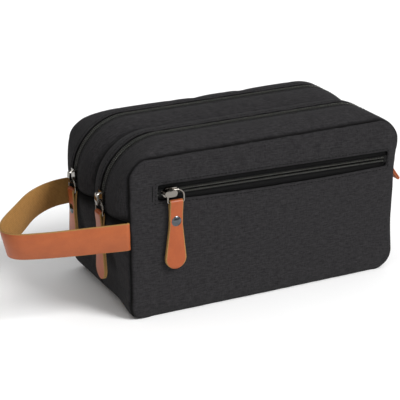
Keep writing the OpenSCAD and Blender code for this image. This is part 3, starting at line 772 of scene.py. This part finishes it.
def shell_patches():
    s = SEAM_Y
    near, far = GAP_NEAR, GAP_FAR
    patches = [
        panel_patch("front_panel_cloth", -1, ["front_panel"], True),
        panel_patch("back_panel_cloth", 1, ["back_panel"]),
        strip_patch("front_gusset_near_cloth", -ZIP_Y - near, -s, True, ["front_gusset_near_strip"]),
        strip_patch("front_gusset_far_cloth", -ZIP_Y + far, -0.25, True, ["front_gusset_far_strip"]),
        strip_patch("rear_gusset_near_cloth", ZIP_Y - near, 0.25, True, ["rear_gusset_near_strip"]),
        strip_patch("rear_gusset_far_cloth", ZIP_Y + far, s, True, ["rear_gusset_far_strip"]),
        base_patch("front_gusset_base_cloth", -1, ["front_gusset_base"]),
        base_patch("rear_gusset_base_cloth", 1, ["rear_gusset_base"]),
    ]
    for patch in patches[2:]:
        face_out(patch)
    return patches


def face_out(patch):
    """Turns a gusset's faces away from the middle of the bag."""
    score = 0.0
    for f in patch.faces[:: max(len(patch.faces) // 60, 1)]:
        a, b, c, _ = (patch.points[i] for i in f)
        n = (b - a).cross(c - a)
        centre = Vector((0, a.y, PANEL_H / 2))
        score += n.normalized().dot((a - centre).normalized())
    if score < 0:
        patch.flip()


def filled_out(patches):
    """Fills the whole shell out with one cloth simulation, held along every seam, and returns the moved points."""
    shell = settings()[0]
    points, faces, held, starts = [], [], [], []
    for patch in patches:
        start = len(points)
        starts.append(start)
        points += patch.points
        faces += [tuple(i + start for i in f) for f in patch.faces]
        held += [i + start for i in patch.held]
    used = {i for f in faces for i in f}
    obj = mesh_object("shell_simulation", points, faces, [], smooth=False)
    group = obj.vertex_groups.new(name="held")
    group.add(sorted(set(held) | (set(range(len(points))) - used)), 1.0, "REPLACE")
    modifier = obj.modifiers.new("Cloth", "CLOTH")
    cloth, contact = modifier.settings, modifier.collision_settings
    cloth.quality = 6
    cloth.mass = 0.15
    cloth.tension_stiffness = cloth.compression_stiffness = 25
    cloth.shear_stiffness = 8
    cloth.bending_stiffness = 2.5
    cloth.tension_damping = cloth.compression_damping = 20
    cloth.air_damping = 4
    cloth.use_pressure = True
    cloth.uniform_pressure_force = shell.swell
    cloth.shrink_min = -shell.slack
    cloth.vertex_group_mass = "held"
    cloth.effector_weights.gravity = 0
    contact.use_collision = False
    contact.use_self_collision = False
    scene = bpy.context.scene
    scene.frame_start, scene.frame_end = 1, 24
    modifier.point_cache.frame_start, modifier.point_cache.frame_end = 1, 24
    for f in range(1, 25):
        scene.frame_set(f)
    moved = [v.co / MM for v in baked(obj).data.vertices]
    bpy.data.objects.remove(obj)
    scene.frame_set(1)
    return [moved[s : s + len(p.points)] for s, p in zip(starts, patches)]


def normals_of(patch, points):
    total = [Vector() for _ in points]
    for f in patch.faces:
        a, b, c, d = (points[i] for i in f)
        n = (c - a).cross(d - b)
        for i in f:
            total[i] += n
    return [n.normalized() if n.length > 0 else Vector((0, 0, 1)) for n in total]


def settle(patch, moved):
    """Keeps the simulated cloth inside its room, and adds the uneven filling."""
    base_normals = normals_of(patch, patch.points)
    out = []
    for i, (rest, now, n) in enumerate(zip(patch.points, moved, base_normals)):
        step = now - rest if now is not None else Vector()
        rise = step.dot(n)
        slide = step - n * rise
        if slide.length > 0.6:
            slide *= 0.6 / slide.length
        cap = patch.cap[i]
        rise = cap * math.tanh(rise / cap) if cap > 0.01 and rise > 0 else min(max(rise, -0.5), 0)
        if i in patch.held:
            rise, slide = 0.0, Vector()
        p = rest + n * rise + slide + leaning(rest)
        p.z = max(p.z, 0.05)
        out.append(p)
    return out


class WASHBAG_OT_shell(bpy.types.Operator):
    """Makes the front and back panels and the gussets as filled-out cloth"""

    bl_idname = "wash_bag.shell"
    bl_label = "Cloth shell"

    def execute(self, context):
        shell = settings()[0]
        patches = shell_patches()
        moved = filled_out(patches)
        for patch, now in zip(patches, moved):
            points = settle(patch, now)
            faces = list(patch.faces)
            uv = list(patch.uv)
            # patch.seam is painted seam shade
            obj = mesh_object(patch.name, points, faces, [material("shell")], uv, seam=patch.seam)
            bm = bmesh.new()
            bm.from_mesh(obj.data)
            bmesh.ops.delete(bm, geom=[v for v in bm.verts if not v.link_faces], context="VERTS")
            bm.to_mesh(obj.data)
            bm.free()
            finish_cloth(obj, shell.cloth)
            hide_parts(*patch.nodes)
            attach(obj, "bag")
        return {"FINISHED"}


# ---------------------------------------------------------------- linings


class WASHBAG_OT_linings(bpy.types.Operator):
    """Gives the linings, divider and seam bindings their woven finishes"""

    bl_idname = "wash_bag.linings"
    bl_label = "Linings and bindings"

    def execute(self, context):
        for name, obj in frame["nodes"].items():
            if "lining" in name or name == "compartment_divider":
                dress(obj, "lining")
            elif "binding" in name:
                dress(obj, "binding")
        return {"FINISHED"}


def dress(obj, key):
    """Puts one material on every slot of a frame node."""
    for s in obj.material_slots:
        s.material = material(key)
    if not obj.material_slots:
        obj.data.materials.append(material(key))


# ---------------------------------------------------------------- zips


def zip_path(side, sink=0.0, step=1.0):
    """Centre line of a main zip as points and the cloth's outward direction there."""
    out = []
    r, y = ZIP_R, side * ZIP_Y
    n = max(int((ARC_Z - END_SEAM) / step), 2)
    out += [((-ZIP_HALF, y, END_SEAM + (ARC_Z - END_SEAM) * i / n), (-1, 0, 0)) for i in range(n)]
    n = 40
    for i in range(n + 1):
        w = math.pi - math.pi / 2 * i / n
        out.append(((-ARC_X + r * math.cos(w), y, ARC_Z + r * math.sin(w)), (math.cos(w), 0, math.sin(w))))
    n = 60
    out += [((ARC_X * (2 * i / n - 1), y, ZIP_TOP), (0, 0, 1)) for i in range(1, n)]
    n = 40
    for i in range(n + 1):
        w = math.pi / 2 - math.pi / 2 * i / n
        out.append(((ARC_X + r * math.cos(w), y, ARC_Z + r * math.sin(w)), (math.cos(w), 0, math.sin(w))))
    n = max(int((ARC_Z - END_SEAM) / step), 2)
    out += [((ZIP_HALF, y, END_SEAM + (ARC_Z - END_SEAM) * i / n), (1, 0, 0)) for i in range(n - 1, -1, -1)]
    return [(Vector(p) - Vector(nn) * sink, Vector(nn)) for p, nn in out]


def pocket_path(sink=0.0):
    n = 100
    out = []
    for i in range(n + 1):
        x, z = turned(WINDOW_L + (WINDOW_R - WINDOW_L) * i / n, WINDOW_Z)
        out.append((Vector((x, -FRONT_Y + sink, z)), Vector((0, -1, 0))))
    return out


def swept(name, k, points, uvs, mats, face_mats=None):
    """Joins cross sections of k points each into one closed, capped mesh. Each side of a section has its material."""
    n = len(points) // k
    faces = [(i * k + j, i * k + (j + 1) % k, (i + 1) * k + (j + 1) % k, (i + 1) * k + j)
        for i in range(n - 1) for j in range(k)]
    faces += [tuple(reversed(range(k))), tuple((n - 1) * k + j for j in range(k))]
    if face_mats:
        face_mats = face_mats * (n - 1) + [max(face_mats)] * 2
    return outward(mesh_object(name, points, faces, mats, uvs, face_mats))


def band(name, path, across, profile, mat, uv_shift=0.0):
    """Sweeps a closed profile of (across, height) points along a path."""
    points, uvs, total = [], [], 0.0
    for i, (p, n) in enumerate(path):
        if i:
            total += (p - path[i - 1][0]).length
        for a, h in profile:
            points.append(p + across * a + n * h)
            uvs.append((total * MM, (a + uv_shift) * MM))
    return swept(name, len(profile), points, uvs, [mat])


def tape_profile(a, b, level, thick=0.5):
    rounded = 0.12
    lo, hi = min(a, b), max(a, b)
    return [(lo, level - thick), (hi, level - thick), (hi + rounded, level - thick / 2), (hi, level),
        ((lo + hi) / 2, level + 0.04), (lo, level), (lo - rounded, level - thick / 2)]


LOOP_DEPTH = 1.75       # a coil loop's length across the zip, as a share of its reach


def repeat_tree(name, sockets):
    """Starts a node group that spaces points along a line: (tree, inputs, points, their rotation)."""
    tree = bpy.data.node_groups.new(name, "GeometryNodeTree")
    tree.interface.new_socket("Geometry", in_out="INPUT", socket_type="NodeSocketGeometry")
    for socket in sockets:
        kind = {"Across": "NodeSocketVector", "Material": "NodeSocketMaterial"}.get(socket, "NodeSocketFloat")
        tree.interface.new_socket(socket, in_out="INPUT", socket_type=kind)
    tree.interface.new_socket("Geometry", in_out="OUTPUT", socket_type="NodeSocketGeometry")
    start = node(tree, "NodeGroupInput").outputs
    curve = node(tree, "GeometryNodeMeshToCurve", {"Mesh": start["Geometry"]})
    step = start["Pitch"]
    if name == "zip_teeth":
        step = node(tree, "ShaderNodeMath", {0: step, 1: 0.5}, operation="MULTIPLY")
    spaced = node(tree, "GeometryNodeCurveToPoints", {"Curve": curve, "Length": step}, mode="LENGTH").outputs
    along = node(tree, "FunctionNodeAlignRotationToVector", {"Vector": spaced["Tangent"]}, axis="X")
    turn = node(tree, "FunctionNodeAlignRotationToVector", {"Rotation": along, "Vector": start["Across"]},
        axis="Y", pivot_axis="X")
    return tree, start, spaced["Points"], turn


def finish_tree(tree, start, instances):
    """Turns the instances into plain geometry with the tree's material."""
    real = node(tree, "GeometryNodeRealizeInstances", {"Geometry": instances})
    done = node(tree, "GeometryNodeSetMaterial", {"Geometry": real, "Material": start["Material"]})
    node(tree, "NodeGroupOutput", {"Geometry": done})
    return tree


def teeth_tree():
    """Rows of coil loops along a curve: every second one lies on the other side, half a pitch on."""
    tree, start, points, turn = repeat_tree("zip_teeth", ("Pitch", "Reach", "Width", "Height", "Across", "Material"))
    index = node(tree, "GeometryNodeInputIndex")
    odd = node(tree, "ShaderNodeMath", {0: index, 1: 2.0}, operation="MODULO")
    side = node(tree, "ShaderNodeMath", {0: odd, 1: 2.0, 2: -1.0}, operation="MULTIPLY_ADD")
    shift = node(tree, "ShaderNodeMath", {0: side, 1: start["Reach"]}, operation="MULTIPLY")
    loop = node(tree, "GeometryNodeMeshIcoSphere", {"Radius": 0.5, "Subdivisions": 2})
    depth = node(tree, "ShaderNodeMath", {0: start["Reach"], 1: LOOP_DEPTH}, operation="MULTIPLY")
    size = node(tree, "ShaderNodeCombineXYZ", {"X": start["Width"], "Y": depth, "Z": start["Height"]})
    move = node(tree, "ShaderNodeVectorMath", {0: start["Across"], 3: shift}, operation="SCALE")
    placed = node(tree, "GeometryNodeInstanceOnPoints", {"Points": points, "Instance": loop, "Rotation": turn,
        "Scale": size})
    moved = node(tree, "GeometryNodeTranslateInstances", {"Instances": placed, "Translation": move,
        "Local Space": False})
    return finish_tree(tree, start, moved)


def stitch_tree():
    """Short raised stitches, end to end along a line, each sunk a little into the cloth."""
    tree, start, points, turn = repeat_tree("stitches", ("Pitch", "Length", "Thread", "Across", "Material"))
    bead = node(tree, "GeometryNodeMeshIcoSphere", {"Radius": 0.5, "Subdivisions": 2})
    size = node(tree, "ShaderNodeCombineXYZ", {"X": start["Length"], "Y": start["Thread"], "Z": start["Thread"]})
    placed = node(tree, "GeometryNodeInstanceOnPoints", {"Points": points, "Instance": bead, "Rotation": turn,
        "Scale": size})
    return finish_tree(tree, start, placed)


def with_tree(name, points, tree, values, closed=False):
    """Runs a node tree on a poly line of points and keeps the result as a plain mesh."""
    me = bpy.data.meshes.new(name)
    n = len(points)
    edges = [(i, i + 1) for i in range(n - 1)] + ([(n - 1, 0)] if closed else [])
    me.from_pydata([p * MM for p in points], edges, [])
    obj = bpy.data.objects.new(name, me)
    bpy.context.scene.collection.objects.link(obj)
    modifier = obj.modifiers.new("Repeat", "NODES")
    modifier.node_group = tree
    ids = {s.name: s.identifier for s in tree.interface.items_tree if s.in_out == "INPUT"}
    for key, value in values.items():
        modifier[ids[key]] = value
    baked(obj)
    obj.data.polygons.foreach_set("use_smooth", [True] * len(obj.data.polygons))
    return obj


class WASHBAG_OT_zips(bpy.types.Operator):
    """Makes the woven tapes and the coils of all three zips"""

    bl_idname = "wash_bag.zips"
    bl_label = "Zip tapes and coils"

    def execute(self, context):
        zips = settings()[1]
        tree, threads = teeth_tree(), stitch_tree()
        reach = COIL_HALF * 0.5
        runs = [
            ("front_zip", zip_path(-1), Vector((0, 1, 0)), ("near", -1), ("far", 1)),
            ("rear_zip", zip_path(1), Vector((0, 1, 0)), ("near", -1), ("far", 1)),
            ("pocket_zip", pocket_path(), Vector((math.sin(TILT), 0, math.cos(TILT))), ("lower", -1), ("upper", 1)),
        ]
        for name, path, across, *halves in runs:
            if name == "pocket_zip":
                shift = Vector((3.5 * math.cos(TILT), 0, -3.5 * math.sin(TILT)))
                tape_path = [(path[0][0] - shift, path[0][1]), *path, (path[-1][0] + shift, path[-1][1])]
            else:
                tape_path = path
            for word, s in halves:
                tape = band(f"{name}_tape_{word}_weave", tape_path, across,
                    tape_profile(s * 0.35, s * TAPE_HALF, TAPE_LEVEL), material("tape"), 20)
                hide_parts(f"{name}_tape_{word}")
                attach(tape, "bag")
            level = (COIL_TOP + TAPE_LEVEL) / 2
            line = [p + n * level for p, n in path]
            chain = with_tree(f"{name}_chain", line, tree, {
                "Pitch": zips.pitch, "Reach": reach * MM, "Width": zips.pitch * 0.56,
                "Height": (COIL_TOP - TAPE_LEVEL) * MM, "Across": across, "Material": material("coil")})
            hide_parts(*[f"{name}_coil_{word}" for word, _ in halves])
            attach(chain, "bag")
            for word, s in halves:      # the thread that sews each coil down, one short stitch a tooth; its light grey is partly painted highlight on the teeth
                line = [p + n * (COIL_TOP - 0.1) + across * (s * COIL_HALF * 0.45) for p, n in path]
                sewn = with_tree(f"{name}_coil_thread_{word}", line, threads, {"Pitch": zips.pitch, "Length": zips.pitch * 0.36, "Thread": 0.6 * MM,
                    "Across": across, "Material": material("coil_stitches_and_highlights")})
                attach(sewn, "bag")
        return {"FINISHED"}


# ---------------------------------------------------------------- sliders, rings, rivets


class WASHBAG_OT_hardware(bpy.types.Operator):
    """Plates the sliders, rings and rivets, and blackens the stops"""

    bl_idname = "wash_bag.hardware"
    bl_label = "Sliders, rings and rivets"

    def execute(self, context):
        for name, obj in frame["nodes"].items():
            if name.endswith(("_slider", "_ring")):
                dress(obj, "nickel")
            elif name.endswith("_rivet"):
                dress(obj, "rivet")
            elif name.endswith("_stops"):
                dress(obj, "stop")
        return {"FINISHED"}


# ---------------------------------------------------------------- leather pulls


def pull_stations():
    """The folded strip's middle line as (height, out, half width), from the front tip over the ring to the back tip."""
    lo, hi = box_mm("front_zip_pull")
    end_r = (hi[1] - lo[1]) / 2
    bar = joint_mm("front_pull_lift")
    top = hi[2] - bar[2]
    length_mm = hi[2] - lo[2]
    t = 1.3
    fold = top - t / 2
    layer = t / 2 + 0.05
    tip = top - length_mm
    end_x = tip + end_r
    rivet = (box_mm("front_zip_rivet")[0][2] + box_mm("front_zip_rivet")[1][2]) / 2 - bar[2]
    meet = rivet + 4.4
    top_half = 5.5
    neck = rivet - 3

    def half_width(h):
        if h < end_x:
            return math.sqrt(max(end_r ** 2 - (end_x - h) ** 2, 0.02))
        if h < neck:
            f = (h - end_x) / (neck - end_x)
            return end_r + (top_half - end_r) * f
        return top_half

    hs = [tip + end_r - end_r * math.cos(math.pi / 2 * i / 12) for i in range(12)]
    hs[0] += 0.02
    hs += [end_x + (neck - end_x) * i / 10 for i in range(10)]
    hs += [neck + (meet - neck) * i / 5 for i in range(5)]
    front = [(h, layer, half_width(h)) for h in hs]
    for i in range(8):
        f = i / 8
        front.append((meet * (1 - f), layer + (fold - layer) * smooth_step(f * 0.92), half_width(meet * (1 - f))))
    arc = [(fold * math.sin(w), fold * math.cos(w), top_half) for w in [math.pi * i / 12 for i in range(13)]]
    back = [(h, -o, w) for h, o, w in reversed(front)]
    return front + arc + back, t


def folded_pull(name, bar, hang, out, across):
    """A leather strip folded over the ring: its stations are swept with a soft-edged flat section."""
    stations, t = pull_stations()
    ring = [(-1, -0.5), (-0.97, -0.85), (-0.9, -1), (0.9, -1), (0.97, -0.85), (1, -0.5),
        (1, 0.5), (0.97, 0.85), (0.9, 1), (-0.9, 1), (-0.97, 0.85), (-1, 0.5)]
    points, uvs, s = [], [], 0.0
    for i, (h, o, w) in enumerate(stations):
        h0, o0, _ = stations[max(i - 1, 0)]
        h1, o1, _ = stations[min(i + 1, len(stations) - 1)]
        d = Vector((h1 - h0, o1 - o0)).normalized()
        n = Vector((-d.y, d.x))
        if i:
            s += math.hypot(h - h0, o - o0)
        for a, b in ring:
            side = a * w if abs(a) < 0.95 or w < 1 else math.copysign(w - (1 - abs(a)) * 4, a)
            p2 = Vector((h, o)) + n * (b * t / 2)
            points.append(bar + hang * p2.x + out * p2.y + across * side)
            uvs.append((s * MM, (side + 12) * MM))
    sides = [0 if j == 8 else 1 for j in range(len(ring))]      # side 8 is the grain side
    return swept(name, len(ring), points, uvs, [material("pull"), material("raw")], sides)


class WASHBAG_OT_pulls(bpy.types.Operator):
    """Makes the three folded leather zip pulls"""

    bl_idname = "wash_bag.pulls"
    bl_label = "Leather pulls"

    def execute(self, context):
        for name in ("front", "rear", "pocket"):
            bar = Vector(joint_mm(f"{name}_pull_lift"))
            up, out, across = Vector((0, 0, 1)), Vector((-1, 0, 0)), Vector((0, 1, 0))
            if name == "pocket":
                up, out, across = (Vector((math.sin(TILT), 0, math.cos(TILT))), Vector((0, -1, 0)),
                    Vector((math.cos(TILT), 0, -math.sin(TILT))))
            pull = folded_pull(f"{name}_zip_pull_leather", bar, up, out, across)
            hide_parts(f"{name}_zip_pull")
            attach(pull, f"{name}_pull")
        return {"FINISHED"}


# ---------------------------------------------------------------- strap and tabs

STRAP_PLAN = [(0, -0.965), (0.16, -0.925), (0.44, -0.85), (0.72, -0.765), (0.93, -0.65), (1, -0.44),
    (0.91, -0.12), (0.64, 0.38), (0.47, 0.66), (0.31, 0.84), (0.15, 0.94), (0, 0.965)]


def strap_line(steps=9):
    reach = settings()[2].reach / MM
    pts = [Vector((STRAP_X - a * reach, b * FRONT_Y)) for a, b in STRAP_PLAN]
    line = []
    n = len(pts)
    for i in range(n - 1):
        for k in range(steps):
            line.append(catmull(pts[max(i - 1, 0)], pts[i], pts[i + 1], pts[min(i + 2, n - 1)], k / steps))
    line.append(pts[-1])
    root = Vector((STRAP_X + 3.2, line[0].y + 1.3))     # both ends run on into the seams
    return [root, (root + line[0]) / 2, *line, Vector(((root.x + line[-1].x) / 2, line[-1].y - 0.65)),
        Vector((root.x, line[-1].y - 1.3))]


def strap_layer(name, near, far, mats, soft=0.35):
    """One layer of the strap between two sideways shifts of its plan, leaning in a little at the tip."""
    line = strap_line()
    h = STRAP_W / 2
    t = far - near
    e = min(soft, abs(t) * 0.45)
    section = [(near, -h + e), (near + e * (1 if t > 0 else -1), -h), (far - e * (1 if t > 0 else -1), -h),
        (far, -h + e), (far, 0), (far, h - e), (far - e * (1 if t > 0 else -1), h),
        (near + e * (1 if t > 0 else -1), h), (near, h - e), (near, 0)]
    points, uvs, s = [], [], 0.0
    n_line = len(line)
    for i, p in enumerate(line):
        a, b = line[max(i - 1, 0)], line[min(i + 1, n_line - 1)]
        d = (b - a).normalized()
        left = Vector((-d.y, d.x))
        if i:
            s += (p - line[i - 1]).length
        lean = 5.0 * math.sin(math.pi * i / (n_line - 1)) ** 2
        wave = 0.35 * noise.noise(Vector((s * 0.03, 3.1, 0)))
        for o, z in section:
            inward = lean * (0.5 - z / STRAP_W) + wave
            q = p + left * (o - inward)
            points.append(Vector((q.x, q.y, STRAP_Z + z)))
            uvs.append((s * MM, (z + 20 + o) * MM))
    sides = [0 if j in (3, 4, 8, 9) else len(mats) - 1 for j in range(len(section))]    # flats, then cut edges
    return swept(name, len(section), points, uvs, mats, sides)


class WASHBAG_OT_strap(bpy.types.Operator):
    """Makes the wrist strap: a leather face on a woven backing"""

    bl_idname = "wash_bag.strap"
    bl_label = "Wrist strap"

    def execute(self, context):
        face = strap_layer("strap_face", 0.0, 1.2, [material("strap"), material("raw")])
        back = strap_layer("strap_webbing", -0.8, -0.02, [material("backing")], 0.25)
        for obj, nodes, slot in ((face, ("strap_leather", "strap_roots", "strap_tails"), "strap_leather"),
                (back, ("strap_backing", "strap_root_backing"), "strap_backing")):
            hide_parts(*nodes)
            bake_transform(obj)
        return {"FINISHED"}


def folded_tab(name):
    """A grab tab: a leather strip folded back on itself at the tip, with both ends caught in the seam."""
    pivot = Vector(joint_mm(f"{name}_tab_flex"))
    lo, hi = box_mm(f"{name}_grab_tab")
    half = (hi[1] - lo[1]) / 2
    droop = math.radians(55)
    t, layer = 1.3, 0.72
    reach = 17.5
    line = [(0.0, layer)] + [(reach * i / 8, layer) for i in range(1, 9)]
    line += [(reach + layer * math.sin(w), layer * math.cos(w)) for w in [math.pi * i / 8 for i in range(1, 8)]]
    line += [(reach * i / 8, -layer) for i in range(8, 0, -1)] + [(0.0, -layer)]
    along = Vector((math.cos(droop), 0, -math.sin(droop)))
    out = Vector((math.sin(droop), 0, math.cos(droop)))
    across = Vector((0, 1, 0))
    ring = [(-1, -0.6), (-0.96, -1), (0.96, -1), (1, -0.6), (1, 0.6), (0.96, 1), (-0.96, 1), (-1, 0.6)]
    points, uvs, s = [], [], 0.0
    for i, (h, o) in enumerate(line):
        h0, o0 = line[max(i - 1, 0)]
        h1, o1 = line[min(i + 1, len(line) - 1)]
        d = Vector((h1 - h0, o1 - o0)).normalized()
        n = Vector((-d.y, d.x))
        s += math.hypot(h - h0, o - o0)
        for a, b in ring:
            p2 = Vector((h, o)) + n * (b * t / 2)
            points.append(pivot + along * p2.x + out * p2.y + across * (a * half))
            uvs.append((s * MM, (a * half + 12) * MM))
    sides = [1 if j == 1 else 0 for j in range(len(ring))]      # side 1 is the flesh side
    return swept(f"{name}_grab_tab_leather", len(ring), points, uvs, [material("strap"), material("raw")], sides)


class WASHBAG_OT_tabs(bpy.types.Operator):
    """Makes the two folded leather grab tabs on the right end"""

    bl_idname = "wash_bag.tabs"
    bl_label = "Grab tabs"

    def execute(self, context):
        for name in ("front", "rear"):
            tab = folded_tab(name)
            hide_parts(f"{name}_grab_tab")
            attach(tab, f"{name}_tab")
        return {"FINISHED"}


# ---------------------------------------------------------------- stitches


def on_cloth(names):
    """Looks up the finished cloth, so that stitches lie on it."""
    from mathutils.bvhtree import BVHTree
    graph = bpy.context.evaluated_depsgraph_get()
    return [BVHTree.FromObject(bpy.data.objects[n], graph) for n in names]


def dropped(trees, start, direction, lift):
    """The point where a line of sight from start first meets the cloth, lifted a little off it."""
    best = None
    for tree in trees:
        hit, _, _, far = tree.ray_cast(Vector(start) * MM, Vector(direction))
        if hit is not None and (best is None or far < best[1]):
            best = (hit, far)
    return best[0] / MM - Vector(direction) * lift if best else None


class WASHBAG_OT_stitches(bpy.types.Operator):
    """Sews the stitch lines round the pocket window and beside each zip"""

    bl_idname = "wash_bag.stitches"
    bl_label = "Stitches"

    def execute(self, context):
        tree = stitch_tree()
        values = {"Pitch": 3.2 * MM, "Length": 2.5 * MM, "Thread": 0.55 * MM, "Material": material("thread")}
        panel = on_cloth(["front_panel_cloth"])
        away = Vector((0, 1, 0))
        m = 2.0
        ring = []
        for upper in (False, True):
            edge = [(WINDOW_MID + u / 60 * (WINDOW_HALF + m),
                WINDOW_Z + window_edge(u / 60, upper) + (m if upper else -m)) for u in range(-60, 61)]
            ring += reversed(edge) if upper else edge
        ring = [turned(x, z) for x, z in ring]
        line = [dropped(panel, (x, -FRONT_Y - 12, z), away, 0.05) for x, z in ring]
        self.sew("pocket_window_stitches", [p for p in line if p], tree, {**values, "Across": (0, 0, 1)}, True)
        bar = []
        for i in range(17):
            x, z = turned(WINDOW_L - 4.4 - 0.5 * (i % 2), WINDOW_Z - 6 + 12 * i / 16)
            bar.append(dropped(panel, (x, -FRONT_Y - 12, z), away, 0.05))
        self.sew("pocket_bar_tack", [p for p in bar if p], tree,
            {**values, "Pitch": 1.0 * MM, "Length": 1.6 * MM, "Across": (1, 0, 0)}, False)
        for name, side in (("front", -1), ("rear", 1)):
            for word, s in (("near", -1), ("far", 1)):
                cloth = on_cloth([f"{name}_gusset_{word}_cloth"])
                gap = GAP_NEAR if word == "near" else GAP_FAR
                shift = s * (gap + 2.0)
                line = []
                for p, n in zip_path(side):
                    q = dropped(cloth, p + n * 12 + Vector((0, shift, 0)), -n, 0.03)
                    if q is not None:
                        line.append(q)
                self.sew(f"{name}_zip_{word}_stitches", line, tree, {**values, "Across": (0, 1, 0)}, False)
        return {"FINISHED"}

    def sew(self, name, line, tree, values, closed):
        obj = with_tree(name, line, tree, values, closed)
        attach(obj, "bag")


# ---------------------------------------------------------------- stage


class WASHBAG_OT_stage(bpy.types.Operator):
    """Lays the pale floor, hangs the studio lights and sets the camera"""

    bl_idname = "wash_bag.stage"
    bl_label = "Stage"

    def execute(self, context):
        scene, stage = context.scene, context.scene.wash_bag_stage
        scene.view_settings.view_transform = "Standard"
        floor = mesh_object("floor", [(-6000, -6000, 0), (6000, -6000, 0), (6000, 6000, 0), (-6000, 6000, 0)],
            [(0, 1, 2, 3)], [painted_floor("matt_floor_paint", tuple(stage.floor))], smooth=False)
        world = bpy.data.worlds.new("studio")
        scene.world = world
        world.use_nodes = True
        tree = world.node_tree
        place = node(tree, "ShaderNodeTexCoord").outputs["Generated"]
        height = node(tree, "ShaderNodeVectorMath", {0: place, 1: (0.12, -0.06, 0.5)}, operation="DOT_PRODUCT")
        height = node(tree, "ShaderNodeMath", {0: height.outputs["Value"], 1: 0.5}, operation="ADD")
        sky = node(tree, "ShaderNodeValToRGB", {"Fac": height},
            [(0.48, grey(0.1)), (0.6, grey(0.18)), (0.74, grey(0.8)), (1.0, grey(0.92))])
        back = tree.nodes["Background"]
        tree.links.new(sky.outputs[0], back.inputs["Color"])
        back.inputs["Strength"].default_value = stage.sky
        target = Vector((0, 0, 0.065))
        for name, place, kind, power, size in (
                ("key_light", (0.62, -0.85, 1.05), "SUN", stage.key, math.radians(24)),
                ("fill_light", (-0.9, -1.6, 0.5), "AREA", stage.fill, 1.0)):
            data = bpy.data.lights.new(name, kind)
            data.energy = power
            if kind == "SUN":
                data.angle = size
            else:
                data.shape, data.size = "DISK", size
            light = bpy.data.objects.new(name, data)
            light.location = place
            light.rotation_euler = (target - Vector(place)).to_track_quat("-Z", "Y").to_euler()
            scene.collection.objects.link(light)
        data = bpy.data.cameras.new("camera")
        data.lens, data.sensor_width = 141.94, 36.0
        camera = bpy.data.objects.new("camera", data)
        camera.matrix_world = camera_place()
        scene.collection.objects.link(camera)
        scene.camera = camera
        return {"FINISHED"}


def camera_place():
    """Camera 1.29 m off, 26 degrees to the left of the front and 21 degrees up, with a hair of roll."""
    azimuth, elevation, roll_angle = math.radians(-25.805), math.radians(20.582), -0.01201
    target, distance = Vector((-0.02913, 0, 0.06479)), 1.28669
    back = Vector((math.sin(azimuth) * math.cos(elevation), -math.cos(azimuth) * math.cos(elevation),
        math.sin(elevation)))
    right = (-back).cross(Vector((0, 0, 1))).normalized()
    up = right.cross(-back)
    c, s = math.cos(roll_angle), math.sin(roll_angle)
    right, up = c * right + s * up, -s * right + c * up
    turn = Matrix((right, up, back)).transposed().to_4x4()
    return Matrix.Translation(target + back * distance) @ turn


# ---------------------------------------------------------------- add-on


class WASHBAG_PT_panel(bpy.types.Panel):
    """Lists the wash bag's pieces and settings"""

    bl_idname = "WASHBAG_PT_panel"
    bl_label = "Wash Bag"
    bl_space_type = "VIEW_3D"
    bl_region_type = "UI"
    bl_category = "Wash Bag"

    def draw(self, context):
        for group in GROUPS:
            holder = getattr(context.scene, group)
            for prop in holder.bl_rna.properties:
                if prop.identifier not in ("rna_type", "name"):
                    self.layout.prop(holder, prop.identifier)
        for op in OPERATORS:
            self.layout.operator(op.bl_idname)


OPERATORS = (WASHBAG_OT_stage, WASHBAG_OT_shell, WASHBAG_OT_linings, WASHBAG_OT_zips, WASHBAG_OT_hardware,
    WASHBAG_OT_pulls, WASHBAG_OT_strap, WASHBAG_OT_tabs, WASHBAG_OT_stitches)
GROUPS = {"wash_bag_shell": WashBagShell, "wash_bag_zips": WashBagZips, "wash_bag_leather": WashBagLeather,
    "wash_bag_stage": WashBagStage}


def register():
    for cls in (*GROUPS.values(), *OPERATORS, WASHBAG_PT_panel):
        bpy.utils.register_class(cls)
    for name, cls in GROUPS.items():
        setattr(bpy.types.Scene, name, bpy.props.PointerProperty(type=cls))


def unregister():
    for name in GROUPS:
        delattr(bpy.types.Scene, name)
    for cls in reversed((*GROUPS.values(), *OPERATORS, WASHBAG_PT_panel)):
        bpy.utils.unregister_class(cls)


def main():
    register()
    for op in OPERATORS:
        area, name = op.bl_idname.split(".")
        getattr(getattr(bpy.ops, area), name)()


if __name__ == "__main__":
    main()
